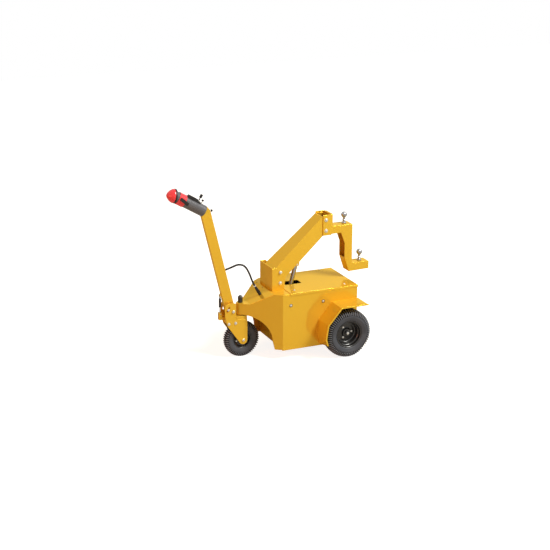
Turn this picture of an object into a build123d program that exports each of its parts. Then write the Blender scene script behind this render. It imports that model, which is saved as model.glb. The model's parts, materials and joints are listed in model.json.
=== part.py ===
from build123d import *
import math
import os

os.makedirs("parts", exist_ok=True)

# Walk-behind electric tow tractor, in mm. X forward towards the tiller, Y left, Z up.
# The origin is on the floor, midway between the red button's tip and the tow shelf's end.

# Stance
rear_axle_x = -523.0
wheelbase = 781.0
axle_x = rear_axle_x + wheelbase
rear_wheel_radius = 200.0
rear_tyre_width = 136.0
rear_wheel_gap = 23.0
front_wheel_radius = 150.0
front_tyre_width = 74.0
running_fit = 0.05
seat_gap = 0.3
hinge_gap = 5.0
beyond = 60.0
open_pivot_gap = 0.8

# Battery body and nose
body_half_width = 249.0
body_bottom_z = 85.0
body_top_z = 556.0
body_rear_x = rear_axle_x - 141.0
fold_x = axle_x - 262.0
deck_break_x = axle_x - 204.0
deck_foot_x = axle_x - 47.0
head_top_z = 458.0
sheet_wall = 5.0
bulkhead_x = fold_x - 14.0
lid_opening_margin = 24.0
axle_hole_gap = 1.0
arch_radius = 208.0
arch_forward = 12.0
arch_rise = 7.0
arch_foot_run = 13.0

# Steering head
steering_x = axle_x + 4.0
head_radius = 35.0
head_bottom_z = 361.0
kingpin_radius = 17.5
collar_radius = 30.0
cap_radius = 20.0
cap_height = 60.0
cap_rise = 16.0

# Battery lid
lid_thickness = 4.0
lid_lip = 16.0
lid_lip_wall = 3.0
lid_front_x = fold_x - 67.0
lid_side_gap = 1.0
slot_front_x = fold_x - 121.0
slot_rear_x = fold_x - 264.0
slot_near_y = 26.0
slot_far_y = -66.0
slot_corner = 12.0

# Boom bracket on the deck
bracket_front_x = fold_x + 40.3
bracket_half_width = 124.0
bracket_plate = 8.0
bracket_base = 6.0
bracket_top_z = 747.0
bracket_rear_foot_x = fold_x - 63.0
bracket_rear_x = fold_x - 79.0
bracket_rear_z = 662.0
bracket_shoulder_x = fold_x - 7.0
boom_pivot_x = fold_x - 31.0
boom_pivot_z = 708.0
boom_pin_radius = 10.0
bolt_head_radius = 13.0
bolt_head_height = 8.0
boom_bolt_head_radius = 15.0

# Boom, with s along it from its pivot and t square to it
boom_angle = 41.4
boom_above_pivot = 40.0
boom_below_pivot = 85.0
boom_foot_run = 41.0
boom_wall = 5.0
boom_foot_half_width = 98.0
boom_chamfer_t = -40.0
boom_foot_inset = (0.4, 1.8)
boom_tip_x = boom_pivot_x - 463.0
boom_tip_top_z = 1109.0
boom_tip_low_z = 958.0

# Clamp channel at the boom's tip, and the hitch behind it
clamp_front_x = boom_pivot_x - 399.0
clamp_rear_x = boom_pivot_x - 479.0
clamp_half_width = 75.0
clamp_wall = 8.0
clamp_bend = 14.0
clamp_bottom_z = 951.0
clamp_top_z = 1123.0
hitch_half_width = 52.0
hitch_wall = 8.0
hitch_mount_depth = 12.0
hitch_mount_half_width = 62.0
hitch_top_z = 1015.0
hitch_arm_bottom_z = 952.0
hitch_rear_x = clamp_rear_x - 197.0
hitch_column_front_x = clamp_rear_x - 129.0
hitch_gusset_x = clamp_rear_x - 95.0
hitch_gusset_z = 858.0
hitch_slope_top_z = 736.0
hitch_foot_x = clamp_rear_x - 169.0
hitch_foot_z = 613.0
shelf_end_rise = 5.0
hitch_plate_gap = 2.0
shelf_top_z = 681.0
shelf_end_x = clamp_rear_x - 352.0
ball_radius = 25.0
ball_neck_radius = 12.0
ball_flange_radius = 20.0
ball_flange_height = 8.0
upper_ball_x = clamp_rear_x - 143.5
lower_ball_x = clamp_rear_x - 288.8
ball_rise = 74.0
ball_nut_height = 12.0
ball_shank_radius = 10.0
ball_flat = 0.92

# Lift actuator, from the floor of the body to a lug under the boom
lift_base_x = boom_pivot_x - 66.0
lift_base_z = 235.0
lift_eye_x = boom_pivot_x - 191.0
lift_eye_z = 722.0
lift_barrel_radius = 30.0
lift_rod_radius = 18.0
lift_barrel_length = 300.0
lift_rod_overlap = 90.0
lift_pin_radius = 8.0
lift_eye_half_width = 19.0
lift_ear_wall = 8.0
lift_boss_radius = 24.0
lift_ear_gap = 1.0
lift_ear_root = (26.0, -30.0)
lift_ear_tip = (14.0, -16.0)
lift_ear_below = 14.0
lift_barrel_start = 31.0
lift_bore_spare = 70.0
lift_rod_eye_wall = 11.0
lift_pin_head = 4.0
mount_foot_half = 40.0
mount_top_half = 18.0
mount_above_pin = 16.0

# Drive axle and battery
axle_tube_radius = 30.0
axle_tube_proud = 13.0
axle_shaft_radius = 12.5
gear_case = (150.0, 240.0, 190.0)
gear_case_round = 20.0
nut_gap = 1.0
battery_front_x = lift_base_x - 87.0
battery_rear_x = rear_axle_x + 105.0
battery_side_gap = 34.0
battery_top_z = 380.0

# Rear wheels
rim_flange_radius = 112.0
rim_bead_radius = 101.0
rim_wall = 4.0
rim_width = 116.0
flange_gap = 1.0
hub_radius = 34.0
hub_reach = 12.0
hub_nut_radius = 19.0
hub_nut_height = 14.0
hub_taper = 6.0
rim_disc_y = -14.0
rim_disc_wall = 8.0
rim_disc_drop = 7.0
wheel_bolt_circle = 50.0
wheel_bolt_radius = 10.0
wheel_bolt_height = 8.0
wheel_bolt_count = 3
rear_crown_drop = 12.0
shoulder_share = 0.86

# Front wheel
front_bead_radius = 67.0
front_flange_radius = 75.0
front_rim_half = 30.0
front_rim_wall = 3.0
front_rim_dish = 6.0
front_disc_half = 6.0
front_disc_radius = 53.0
front_hub_half = 39.0
front_hub_radius = 22.0
front_crown_drop = 14.0

# Fenders
fender_reach = 191.0
fender_wall = 4.0
fender_lip = 12.0
fender_top_z = 2 * rear_wheel_radius + 42.0
fender_outline = (
    (rear_axle_x - 150.0, fender_top_z),
    (rear_axle_x + 86.0, fender_top_z - 2.0),
    (rear_axle_x + rear_wheel_radius, rear_wheel_radius + 110.0),
    (rear_axle_x + rear_wheel_radius + 18.0, rear_wheel_radius),
    (rear_axle_x + rear_wheel_radius - 9.0, rear_wheel_radius - 102.0),
)
fender_tip_z = rear_wheel_radius - 56.0

# Fork, in front of and beside the front wheel
fork_outer_y = 50.0
fork_plate = 7.0
fork_back_x = axle_x + 61.0
fork_front_x = axle_x + 156.0
fork_top_z = 474.0
fork_step_z = 331.0
fork_rear_x = axle_x - 35.0
fork_crown_z = 340.0
fork_crown_height = 16.0
fork_front_low_z = 373.0
fork_knee_x = axle_x + 135.0
fork_knee_z = 284.0
fork_axle_boss = 36.0
fork_top_round = 34.0
fork_rear_bow = 2.0
fork_boss_slope = 30.0
fork_corner_drop = 6.0
web_inset = 14.0
web_wall = 8.0
lug_front = 14.0
lug_depth = 27.0
lug_above_eye = 12.0
pin_spacer = 6.0
spacer_gap = 0.5
slot_spare_width = 1.0
front_axle_radius = 8.0
tiller_pivot_x = axle_x + 85.0
tiller_pivot_z = 404.0
tiller_pin_radius = 8.0
tiller_range = 20.0
stop_radius = 48.8
stop_angle = 25.5
stop_pin_radius = 6.0
slot_spare = 2.0
lug_gap = 12.0
lug_wall = 7.0

# Tiller bar and its head
tiller_lean = 13.35
bar_depth = 80.0
bar_width = 40.0
bar_wall = 4.0
bar_behind_pivot = 29.7
bar_below_pivot = 18.0
housing_angle = 31.0
head_seat_run = 4.7871
head_seat_across = 48.1343
housing_radius = 46.0
housing_round = 5.0
bar_rear_length = 866.0
bar_top_round = 60.0
bar_seam = 8.0
strut_lug_low = 121.0
strut_lug_high = 169.0
strut_lug_sink = 2.0
strut_lug_wall = 3.0
slot_pin_reach = 2.0
slot_pin_head_radius = 11.0

# Parts of the head, with distances along it from its rear face
button_reach = 285.0
button_angle = 12.0
button_radius = 55.0
button_depth = 60.0
ring_radius = 57.0
ring_length = 13.0
collar_band_start = 190.0
collar_band_length = 62.0
collar_band_wall = 4.0
box_start = 100.0
box_length = 74.0
box_width = 56.0
box_height = 17.0
box_round = 6.0
base_start = 64.0
base_length = 122.0
base_height = 5.0
key_at = 80.0
key_switch_radius = 12.0
key_switch_height = 9.0
key_stem = (8.0, 2.4, 20.0)
key_bow = (22.0, 5.0, 30.0)
key_bow_round = 5.0
lever_start = 164.0
lever_end = 246.0
lever_tilt = 12.0
lever_gap = 1.5
lever_wall = 6.0
lever_width = 26.0
lever_boss_radius = 9.0

# Gas strut ahead of the bar, rod downwards
strut_y = 0.0
strut_top_x = axle_x + 179.0
strut_top_z = 535.0
strut_foot_x = axle_x + 180.0
strut_foot_z = 384.0
strut_barrel_radius = 10.0
strut_rod_radius = 4.0
strut_barrel_length = 95.0
strut_rod_overlap = 47.0
strut_bore = 86.0
strut_neck = 24.0
strut_pin_radius = 4.0
strut_eye_radius = 8.5
strut_eye_half_width = 5.0
strut_pin_head = 3.0
strut_foot_pin_radius = 3.0
strut_foot_drift = 6.2
strut_foot_eye_wall = 3.2

# Control cable from the bar to the deck
cable_radius = 7.0
cable_y = 8.0
cable_up_bar = 347.0
cable_first_run = 50.0
cable_last_run = 40.0
gland_x = deck_break_x + 57.0
gland_y = 53.0
gland_radius = 14.0
gland_height = 20.0
gland_nut_share = 0.6
gland_top_share = 0.8
cable_route = (
    (rear_axle_x + 808.0, 22.0, 787.0),
    (rear_axle_x + 756.0, 32.0, 771.0),
    (rear_axle_x + 722.0, 40.0, 708.0),
    (rear_axle_x + 698.0, 47.0, 632.0),
)


def mitred(points, thickness):
    """Closes a bent strip: the points, then the same line moved by the thickness to its right."""
    moved = []
    for i, (x, z) in enumerate(points):
        before = points[max(i - 1, 0)]
        after = points[min(i + 1, len(points) - 1)]
        first = math.atan2(z - before[1], x - before[0]) if i else None
        second = math.atan2(after[1] - z, after[0] - x) if i < len(points) - 1 else None
        first = second if first is None else first
        second = first if second is None else second
        middle = (first + second) / 2
        reach = thickness / math.cos((second - first) / 2)
        moved.append((x + reach * math.sin(middle), z - reach * math.cos(middle)))
    return list(points) + moved[::-1]


def side_plane(y):
    """A plane seen from the right side, with X across, Z up, and extrusions going to the left."""
    return Plane(origin=(0, y, 0), x_dir=(1, 0, 0), z_dir=(0, -1, 0))


def along(start, angle, distance):
    """A point at a distance from start, in the XZ plane, at an angle above the X axis."""
    turn = math.radians(angle)
    return (start[0] + distance * math.cos(turn), start[1] + distance * math.sin(turn))


# Body shell: folded sheet, open arch for the steered wheel
nose_reach = math.hypot(steering_x - fold_x, body_half_width)
nose_turn = math.atan2(body_half_width, steering_x - fold_x) - math.asin(head_radius / nose_reach)
nose_tip_x = steering_x + head_radius * math.sin(nose_turn)
nose_tip_y = head_radius * math.cos(nose_turn)
body_outline = (
    (body_rear_x, -body_half_width),
    (fold_x, -body_half_width),
    (nose_tip_x, -nose_tip_y),
    (nose_tip_x, nose_tip_y),
    (fold_x, body_half_width),
    (body_rear_x, body_half_width),
)
deck_slope = math.atan2(body_top_z - head_top_z, deck_foot_x - deck_break_x)
arch_x = axle_x + arch_forward
arch_z = front_wheel_radius + arch_rise


def deck_cut(drop):
    """The profile above the sloping deck, lowered by a distance, to cut away."""
    foot_shift = drop * math.tan(deck_slope / 2)
    break_point = (deck_break_x - foot_shift, body_top_z - drop)
    foot_point = (deck_foot_x - foot_shift, head_top_z - drop)
    end_x = nose_tip_x + beyond
    return (break_point, foot_point, (end_x, foot_point[1]), (end_x, body_top_z + beyond),
            (break_point[0], body_top_z + beyond))


with BuildPart() as body_void:
    with BuildSketch(Plane.XY.offset(body_bottom_z + sheet_wall)):
        Polygon(*body_outline, align=None)
        offset(amount=-sheet_wall, kind=Kind.INTERSECTION, mode=Mode.REPLACE)
    extrude(amount=body_top_z - body_bottom_z - 2 * sheet_wall)
    with BuildSketch(Plane.XZ):
        Polygon(*deck_cut(sheet_wall), align=None)
    extrude(amount=body_half_width, both=True, mode=Mode.SUBTRACT)

with BuildPart() as body_shell:
    with BuildSketch(Plane.XY.offset(body_bottom_z)):
        Polygon(*body_outline, align=None)
    extrude(amount=body_top_z - body_bottom_z)
    with BuildSketch(Plane.XY.offset(head_bottom_z)):
        with Locations((steering_x, 0)):
            Circle(head_radius)
    extrude(amount=head_top_z - head_bottom_z)
    with BuildSketch(Plane.XZ):
        Polygon(*deck_cut(0), align=None)
    extrude(amount=body_half_width, both=True, mode=Mode.SUBTRACT)
    add(body_void.part, mode=Mode.SUBTRACT)
    with BuildSketch(Plane.YZ.offset(bulkhead_x)):
        with Locations((0, (body_bottom_z + body_top_z) / 2)):
            Rectangle(2 * body_half_width - sheet_wall, body_top_z - body_bottom_z - sheet_wall)
    extrude(amount=sheet_wall)
    with BuildSketch(Plane.XZ):
        with Locations((arch_x, arch_z)):
            Circle(arch_radius)
        Polygon(
            (bulkhead_x + sheet_wall, body_bottom_z),
            (bulkhead_x + sheet_wall, body_bottom_z + sheet_wall),
            (arch_x - arch_radius - arch_foot_run, body_bottom_z + sheet_wall),
            (arch_x - arch_radius, arch_z),
            (nose_tip_x + beyond, arch_z),
            (nose_tip_x + beyond, body_bottom_z),
            align=None,
        )
    extrude(amount=body_half_width - sheet_wall, both=True, mode=Mode.SUBTRACT)
    with BuildSketch(Plane.XY.offset(head_bottom_z - beyond)):
        with Locations((steering_x, 0)):
            Circle(head_radius)
    extrude(amount=beyond, mode=Mode.SUBTRACT)
    with BuildSketch(Plane.XY.offset(head_bottom_z)):
        with Locations((steering_x, 0)):
            Circle(head_radius)
    extrude(amount=head_top_z - head_bottom_z)
    with BuildSketch(Plane.XY.offset(head_bottom_z)):
        with Locations((steering_x, 0)):
            Circle(kingpin_radius + running_fit)
    extrude(amount=head_top_z - sheet_wall - head_bottom_z, mode=Mode.SUBTRACT)
    lid_opening_rear = body_rear_x + lid_opening_margin
    lid_opening_front = lid_front_x - sheet_wall * 2
    with BuildSketch(Plane.XY.offset(body_top_z - sheet_wall)):
        with Locations(((lid_opening_rear + lid_opening_front) / 2, 0)):
            Rectangle(lid_opening_front - lid_opening_rear, 2 * (body_half_width - lid_opening_margin))
    extrude(amount=sheet_wall, mode=Mode.SUBTRACT)
    with BuildSketch(Plane.XZ):
        with Locations((rear_axle_x, rear_wheel_radius)):
            Circle(axle_tube_radius + axle_hole_gap)
    extrude(amount=body_half_width, both=True, mode=Mode.SUBTRACT)

with BuildPart() as steering_cap:
    with BuildSketch(Plane(origin=(steering_x, 0, head_top_z), x_dir=(1, 0, 0), z_dir=(0, -1, 0))):
        with BuildLine():
            Polyline((0, cap_height), (0, 0), (cap_radius, 0), (cap_radius, cap_height - cap_rise))
            TangentArc((0, cap_height), (cap_radius, cap_height - cap_rise), tangent=(1, 0))
        make_face()
    revolve(axis=Axis((steering_x, 0, 0), (0, 0, 1)))

# Battery lid with turned-down lips and the actuator's slot
lid_outer = body_half_width + lid_side_gap + lid_lip_wall
lid_rear = body_rear_x - lid_side_gap - lid_lip_wall
with BuildPart() as battery_lid:
    with BuildSketch(Plane.XY.offset(body_top_z)):
        with Locations(((lid_rear + lid_front_x) / 2, 0)):
            Rectangle(lid_front_x - lid_rear, 2 * lid_outer)
    extrude(amount=lid_thickness)
    with BuildSketch(Plane.XY.offset(body_top_z - lid_lip)):
        with Locations(((lid_rear + lid_front_x) / 2, 0)):
            Rectangle(lid_front_x - lid_rear, 2 * lid_outer)
        with Locations(((lid_rear + lid_lip_wall + lid_front_x + beyond) / 2, 0)):
            Rectangle(lid_front_x + beyond - lid_rear - lid_lip_wall, 2 * (lid_outer - lid_lip_wall),
                      mode=Mode.SUBTRACT)
    extrude(amount=lid_lip)
    with BuildSketch(Plane.XY.offset(body_top_z)):
        with Locations(((slot_front_x + slot_rear_x) / 2, (slot_near_y + slot_far_y) / 2)):
            RectangleRounded(slot_front_x - slot_rear_x, slot_near_y - slot_far_y, slot_corner)
    extrude(amount=lid_thickness, mode=Mode.SUBTRACT)

# Boom bracket: a channel open to the rear, on a base plate
bracket_side = (
    (bracket_front_x, body_top_z + bracket_base),
    (bracket_front_x, bracket_top_z),
    (bracket_shoulder_x, bracket_top_z),
    (bracket_rear_x, bracket_rear_z),
    (bracket_rear_foot_x, body_top_z + bracket_base),
)
with BuildPart() as boom_bracket:
    with BuildSketch(Plane.XY.offset(body_top_z)):
        with Locations(((bracket_front_x + bracket_rear_foot_x) / 2, 0)):
            Rectangle(bracket_front_x - bracket_rear_foot_x, 2 * bracket_half_width)
    extrude(amount=bracket_base)
    with BuildSketch(side_plane(bracket_half_width)):
        Polygon(*bracket_side, align=None)
    extrude(amount=2 * bracket_half_width)
    with BuildSketch(side_plane(bracket_half_width - bracket_plate)):
        Polygon(
            (bracket_front_x - bracket_plate, body_top_z + bracket_base),
            (bracket_front_x - bracket_plate, bracket_top_z + beyond),
            (bracket_rear_x - beyond, bracket_top_z + beyond),
            (bracket_rear_x - beyond, body_top_z + bracket_base),
            align=None,
        )
    extrude(amount=2 * (bracket_half_width - bracket_plate), mode=Mode.SUBTRACT)
    with BuildSketch(Plane.XZ):
        with Locations((boom_pivot_x, boom_pivot_z)):
            Circle(boom_pin_radius + running_fit)
    extrude(amount=bracket_half_width, both=True, mode=Mode.SUBTRACT)


def cross_pin(x, z, radius, reach, head_radius_out, head_height):
    """A pin across the machine with a head outside each side plate."""
    with BuildPart() as pin:
        with BuildSketch(side_plane(reach)):
            with Locations((x, z)):
                Circle(radius)
        extrude(amount=2 * reach)
        for side in (1, -1):
            near = reach if side == 1 else -reach - head_height
            with BuildSketch(side_plane(near + head_height)):
                with Locations((x, z)):
                    RegularPolygon(head_radius_out, 6)
            extrude(amount=head_height)
    return pin


boom_pin = cross_pin(boom_pivot_x, boom_pivot_z, boom_pin_radius, bracket_half_width,
                     boom_bolt_head_radius, bolt_head_height)

# Fenders: bent strips outside the rear wheels
def fender(side):
    inner_y = body_half_width
    fender_outer_y = body_half_width + fender_reach
    with BuildPart() as strip:
        with BuildSketch(side_plane(fender_outer_y)):
            Polygon(*mitred(fender_outline[::-1], fender_wall), align=None)
        extrude(amount=fender_outer_y - inner_y)
        with BuildSketch(side_plane(fender_outer_y)):
            Polygon(*mitred(fender_outline[::-1], fender_lip), align=None)
        extrude(amount=fender_wall)
        with BuildSketch(Plane.YZ.offset(body_rear_x)):
            Polygon(
                (inner_y, fender_outline[-1][1] - beyond),
                (inner_y, fender_outline[-1][1]),
                (fender_outer_y, fender_tip_z),
                (fender_outer_y + beyond, fender_tip_z),
                (fender_outer_y + beyond, fender_outline[-1][1] - beyond),
                align=None,
            )
        extrude(amount=fold_x - body_rear_x, mode=Mode.SUBTRACT)
        if side < 0:
            mirror(about=Plane.XZ, mode=Mode.REPLACE)
    return strip


fender_left = fender(1)
fender_right = fender(-1)

# Drive axle: gear case on the floor, tubes through the sides, shafts for the wheels
rear_wheel_y = body_half_width + rear_wheel_gap + rear_tyre_width / 2
hub_outer_y = rear_wheel_y + hub_reach
with BuildPart() as drive_axle:
    with BuildSketch(Plane.XY.offset(body_bottom_z + sheet_wall)):
        with Locations((rear_axle_x, 0)):
            Rectangle(gear_case[0], gear_case[1])
    extrude(amount=gear_case[2])
    fillet(drive_axle.edges().filter_by(Axis.Y), radius=gear_case_round)
    axle_tube_reach = body_half_width + axle_tube_proud
    with BuildSketch(side_plane(axle_tube_reach)):
        with Locations((rear_axle_x, rear_wheel_radius)):
            Circle(axle_tube_radius)
    extrude(amount=2 * axle_tube_reach)
    shaft_reach = hub_outer_y + hub_nut_height
    with BuildSketch(side_plane(shaft_reach)):
        with Locations((rear_axle_x, rear_wheel_radius)):
            Circle(axle_shaft_radius)
    extrude(amount=2 * shaft_reach)
    for side in (1, -1):
        nut_length = hub_nut_height - nut_gap
        start = shaft_reach if side == 1 else -shaft_reach + nut_length
        with BuildSketch(side_plane(start)):
            with Locations((rear_axle_x, rear_wheel_radius)):
                RegularPolygon(hub_nut_radius, 6)
        extrude(amount=nut_length)

with BuildPart() as battery_block:
    with BuildSketch(Plane.XY.offset(body_bottom_z + sheet_wall)):
        with Locations(((battery_front_x + battery_rear_x) / 2, 0)):
            Rectangle(battery_front_x - battery_rear_x, 2 * (body_half_width - battery_side_gap))
    extrude(amount=battery_top_z - body_bottom_z - sheet_wall)


# Wheels
def far_side(point):
    """The same point on the other side of a wheel's centre plane."""
    return (-point[0], point[1])


def tyre(x, y, z, outer, width, rim, crown_drop):
    """A tyre turned about a crosswise axle, seated between its rim's flanges."""
    bead_half, bead_radius, flange_radius = rim
    half = width / 2
    shoulder = (half * shoulder_share, outer - crown_drop)
    bulge = (half, (bead_radius + outer) / 2)
    bead = (bead_half, bead_radius)
    wall_foot = (bead_half, flange_radius + flange_gap)
    plane = Plane(origin=(x, y, z), x_dir=(0, 1, 0), z_dir=(1, 0, 0))
    with BuildPart() as ring:
        with BuildSketch(plane):
            with BuildLine():
                Line(bead, wall_foot)
                ThreePointArc(wall_foot, bulge, shoulder)
                ThreePointArc(shoulder, (0, outer), far_side(shoulder))
                ThreePointArc(far_side(shoulder), far_side(bulge), far_side(wall_foot))
                Line(far_side(wall_foot), far_side(bead))
                Line(far_side(bead), bead)
            make_face()
        revolve(axis=Axis((x, y, z), (0, 1, 0)))
    return ring


def rear_rim(side):
    """A dished steel rim with its disc towards the machine and a hub for the shaft."""
    y = side * rear_wheel_y
    half = rim_width / 2
    disc_y = rim_disc_y
    disc_wall = rim_disc_wall
    disc_rim = rim_bead_radius - rim_wall - rim_disc_drop
    section = (
        (half, rim_flange_radius),
        (half - rim_wall, rim_flange_radius),
        (half - rim_wall, rim_bead_radius - seat_gap),
        (-half + rim_wall, rim_bead_radius - seat_gap),
        (-half + rim_wall, rim_flange_radius),
        (-half, rim_flange_radius),
        (-half, rim_bead_radius - rim_wall),
        (disc_y, disc_rim),
        (disc_y, hub_radius),
        (-half, hub_radius),
        (-half, axle_shaft_radius + running_fit),
        (hub_reach, axle_shaft_radius + running_fit),
        (hub_reach, hub_radius - hub_taper),
        (disc_y + disc_wall, hub_radius),
        (disc_y + disc_wall, disc_rim),
        (half, rim_bead_radius - rim_wall),
    )
    plane = Plane(origin=(rear_axle_x, y, rear_wheel_radius), x_dir=(0, side, 0), z_dir=(side, 0, 0))
    with BuildPart() as rim:
        with BuildSketch(plane):
            Polygon(*section, align=None)
        revolve(axis=Axis((rear_axle_x, y, rear_wheel_radius), (0, 1, 0)))
        bolt_start = y + side * (disc_y + disc_wall)
        bolt_origin = (rear_axle_x, bolt_start, rear_wheel_radius)
        bolt_plane = Plane(origin=bolt_origin, x_dir=(1, 0, 0), z_dir=(0, side, 0))
        with BuildSketch(bolt_plane):
            with PolarLocations(wheel_bolt_circle, wheel_bolt_count, start_angle=60):
                RegularPolygon(wheel_bolt_radius, 6)
        extrude(amount=wheel_bolt_height)
    return rim


rear_seat = (rim_width / 2 - rim_wall - seat_gap, rim_bead_radius, rim_flange_radius)
rear_tyre_left = tyre(rear_axle_x, rear_wheel_y, rear_wheel_radius, rear_wheel_radius, rear_tyre_width,
                      rear_seat, rear_crown_drop)
rear_tyre_right = tyre(rear_axle_x, -rear_wheel_y, rear_wheel_radius, rear_wheel_radius, rear_tyre_width,
                       rear_seat, rear_crown_drop)
rear_rim_left = rear_rim(1)
rear_rim_right = rear_rim(-1)

front_seat = (front_rim_half - front_rim_wall - seat_gap, front_bead_radius, front_flange_radius)
front_tyre = tyre(axle_x, 0, front_wheel_radius, front_wheel_radius, front_tyre_width, front_seat,
                  front_crown_drop)
front_section = (
    (front_rim_half, front_flange_radius),
    (front_rim_half - front_rim_wall, front_flange_radius),
    (front_rim_half - front_rim_wall, front_bead_radius - seat_gap),
    (-front_rim_half + front_rim_wall, front_bead_radius - seat_gap),
    (-front_rim_half + front_rim_wall, front_flange_radius),
    (-front_rim_half, front_flange_radius),
    (-front_rim_half, front_bead_radius - front_rim_dish),
    (-front_disc_half, front_disc_radius),
    (-front_disc_half, front_hub_radius),
    (-front_hub_half, front_hub_radius),
    (-front_hub_half, front_axle_radius + running_fit),
    (front_hub_half, front_axle_radius + running_fit),
    (front_hub_half, front_hub_radius),
    (front_disc_half, front_hub_radius),
    (front_disc_half, front_disc_radius),
    (front_rim_half, front_bead_radius - front_rim_dish),
)
with BuildPart() as front_rim:
    front_plane = Plane(origin=(axle_x, 0, front_wheel_radius), x_dir=(0, 1, 0), z_dir=(1, 0, 0))
    with BuildSketch(front_plane):
        Polygon(*front_section, align=None)
    revolve(axis=Axis((axle_x, 0, front_wheel_radius), (0, 1, 0)))

# Fork: two side plates, crown, front web, and the strut's tab on the right plate
fork_inner_y = fork_outer_y - fork_plate
crown_top_z = fork_crown_z + fork_crown_height
pivot = (tiller_pivot_x, tiller_pivot_z)
slot_low = stop_angle - tiller_range - slot_spare
slot_high = stop_angle + tiller_range + slot_spare
slot_half = stop_pin_radius + slot_spare_width
slot_inner = stop_radius - slot_half
slot_outer = stop_radius + slot_half
slot_ends = (along(pivot, slot_low, stop_radius), along(pivot, slot_high, stop_radius))
slot_corners = (
    along(pivot, slot_low, slot_inner),
    along(pivot, slot_high, slot_inner),
    along(pivot, slot_high, slot_outer),
    along(pivot, slot_low, slot_outer),
)
boss_side, boss_drop = along((0, 0), fork_boss_slope, fork_axle_boss)
lug_front_x = strut_foot_x + lug_front
lug_back_x = lug_front_x - lug_depth
lug_top_z = strut_foot_z + lug_above_eye
lug_low_z = fork_step_z + 2
web_front_x = fork_front_x - web_inset

with BuildPart() as fork_frame:
    for start in (fork_outer_y, -fork_inner_y):
        with BuildSketch(side_plane(start)):
            with BuildLine():
                Polyline(
                    (fork_rear_x, front_wheel_radius),
                    (fork_rear_x - fork_rear_bow, (front_wheel_radius + fork_step_z) / 2),
                    (fork_rear_x, fork_step_z),
                    (fork_back_x, fork_step_z),
                    (fork_back_x, fork_top_z - fork_corner_drop),
                    (tiller_pivot_x, fork_top_z),
                    (fork_front_x - fork_top_round, fork_top_z),
                )
                TangentArc((fork_front_x - fork_top_round, fork_top_z),
                           (fork_front_x, fork_top_z - fork_top_round), tangent=(1, 0))
                Polyline(
                    (fork_front_x, fork_top_z - fork_top_round),
                    (fork_front_x, fork_front_low_z),
                    (fork_knee_x, fork_knee_z),
                    (axle_x + boss_side, front_wheel_radius - boss_drop),
                )
                ThreePointArc(
                    (axle_x + boss_side, front_wheel_radius - boss_drop),
                    (axle_x, front_wheel_radius - fork_axle_boss),
                    (fork_rear_x, front_wheel_radius),
                )
            make_face()
        extrude(amount=fork_plate)
    for start in (lug_gap / 2 + lug_wall, -lug_gap / 2):
        with BuildSketch(side_plane(start)):
            Polygon(
                (web_front_x - web_wall, crown_top_z),
                (web_front_x - web_inset, lug_low_z),
                (lug_front_x, lug_low_z),
                (lug_front_x, lug_top_z),
                (lug_back_x, lug_top_z),
                (lug_back_x, crown_top_z),
                align=None,
            )
        extrude(amount=lug_wall)
    with BuildSketch(Plane.XY.offset(fork_crown_z)):
        with Locations(((fork_rear_x + web_front_x) / 2, 0)):
            Rectangle(web_front_x - fork_rear_x, 2 * fork_inner_y)
    extrude(amount=fork_crown_height)
    with BuildSketch(side_plane(fork_inner_y)):
        Polygon(
            (fork_knee_x - web_inset, fork_knee_z + web_wall),
            (fork_knee_x - web_inset + web_wall, fork_knee_z + web_wall),
            (web_front_x, crown_top_z),
            (web_front_x - web_wall, crown_top_z),
            align=None,
        )
    extrude(amount=2 * fork_inner_y)
    with BuildSketch(Plane.XZ):
        with Locations((axle_x, front_wheel_radius)):
            Circle(front_axle_radius + running_fit)
        with Locations((tiller_pivot_x, tiller_pivot_z)):
            Circle(tiller_pin_radius + running_fit)
        with Locations((strut_foot_x, strut_foot_z)):
            Circle(strut_foot_pin_radius + running_fit)
    extrude(amount=fork_outer_y, both=True, mode=Mode.SUBTRACT)
    with BuildSketch(Plane.XZ):
        with BuildLine():
            ThreePointArc(slot_corners[0], along(pivot, stop_angle, slot_inner), slot_corners[1])
            ThreePointArc(slot_corners[1], along(slot_ends[1], slot_high + 90, slot_half), slot_corners[2])
            ThreePointArc(slot_corners[2], along(pivot, stop_angle, slot_outer), slot_corners[3])
            ThreePointArc(slot_corners[3], along(slot_ends[0], slot_low - 90, slot_half), slot_corners[0])
        make_face()
    extrude(amount=fork_outer_y, both=True, mode=Mode.SUBTRACT)
    with BuildSketch(Plane.XY.offset(fork_crown_z)):
        with Locations((steering_x, 0)):
            Circle(kingpin_radius + running_fit)
    extrude(amount=fork_crown_height, mode=Mode.SUBTRACT)

with BuildPart() as kingpin:
    with BuildSketch(Plane.XY.offset(fork_crown_z)):
        with Locations((steering_x, 0)):
            Circle(kingpin_radius)
    extrude(amount=head_top_z - sheet_wall - hinge_gap - fork_crown_z)
    with BuildSketch(Plane.XY.offset(crown_top_z)):
        with Locations((steering_x, 0)):
            Circle(collar_radius)
    extrude(amount=head_bottom_z - seat_gap - crown_top_z)

front_axle = cross_pin(axle_x, front_wheel_radius, front_axle_radius, fork_outer_y,
                       bolt_head_radius, bolt_head_height)

with BuildPart() as tiller_pin:
    with BuildSketch(side_plane(fork_outer_y)):
        with Locations((tiller_pivot_x, tiller_pivot_z)):
            Circle(tiller_pin_radius)
    extrude(amount=2 * fork_outer_y)
    for start in (fork_inner_y, -bar_width / 2 - spacer_gap):
        with BuildSketch(side_plane(start)):
            with Locations((tiller_pivot_x, tiller_pivot_z)):
                Circle(tiller_pin_radius + pin_spacer)
        extrude(amount=fork_inner_y - bar_width / 2 - spacer_gap)
    for start in (fork_outer_y + bolt_head_height, -fork_outer_y):
        with BuildSketch(side_plane(start)):
            with Locations((tiller_pivot_x, tiller_pivot_z)):
                RegularPolygon(bolt_head_radius, 6)
        extrude(amount=bolt_head_height)

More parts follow.
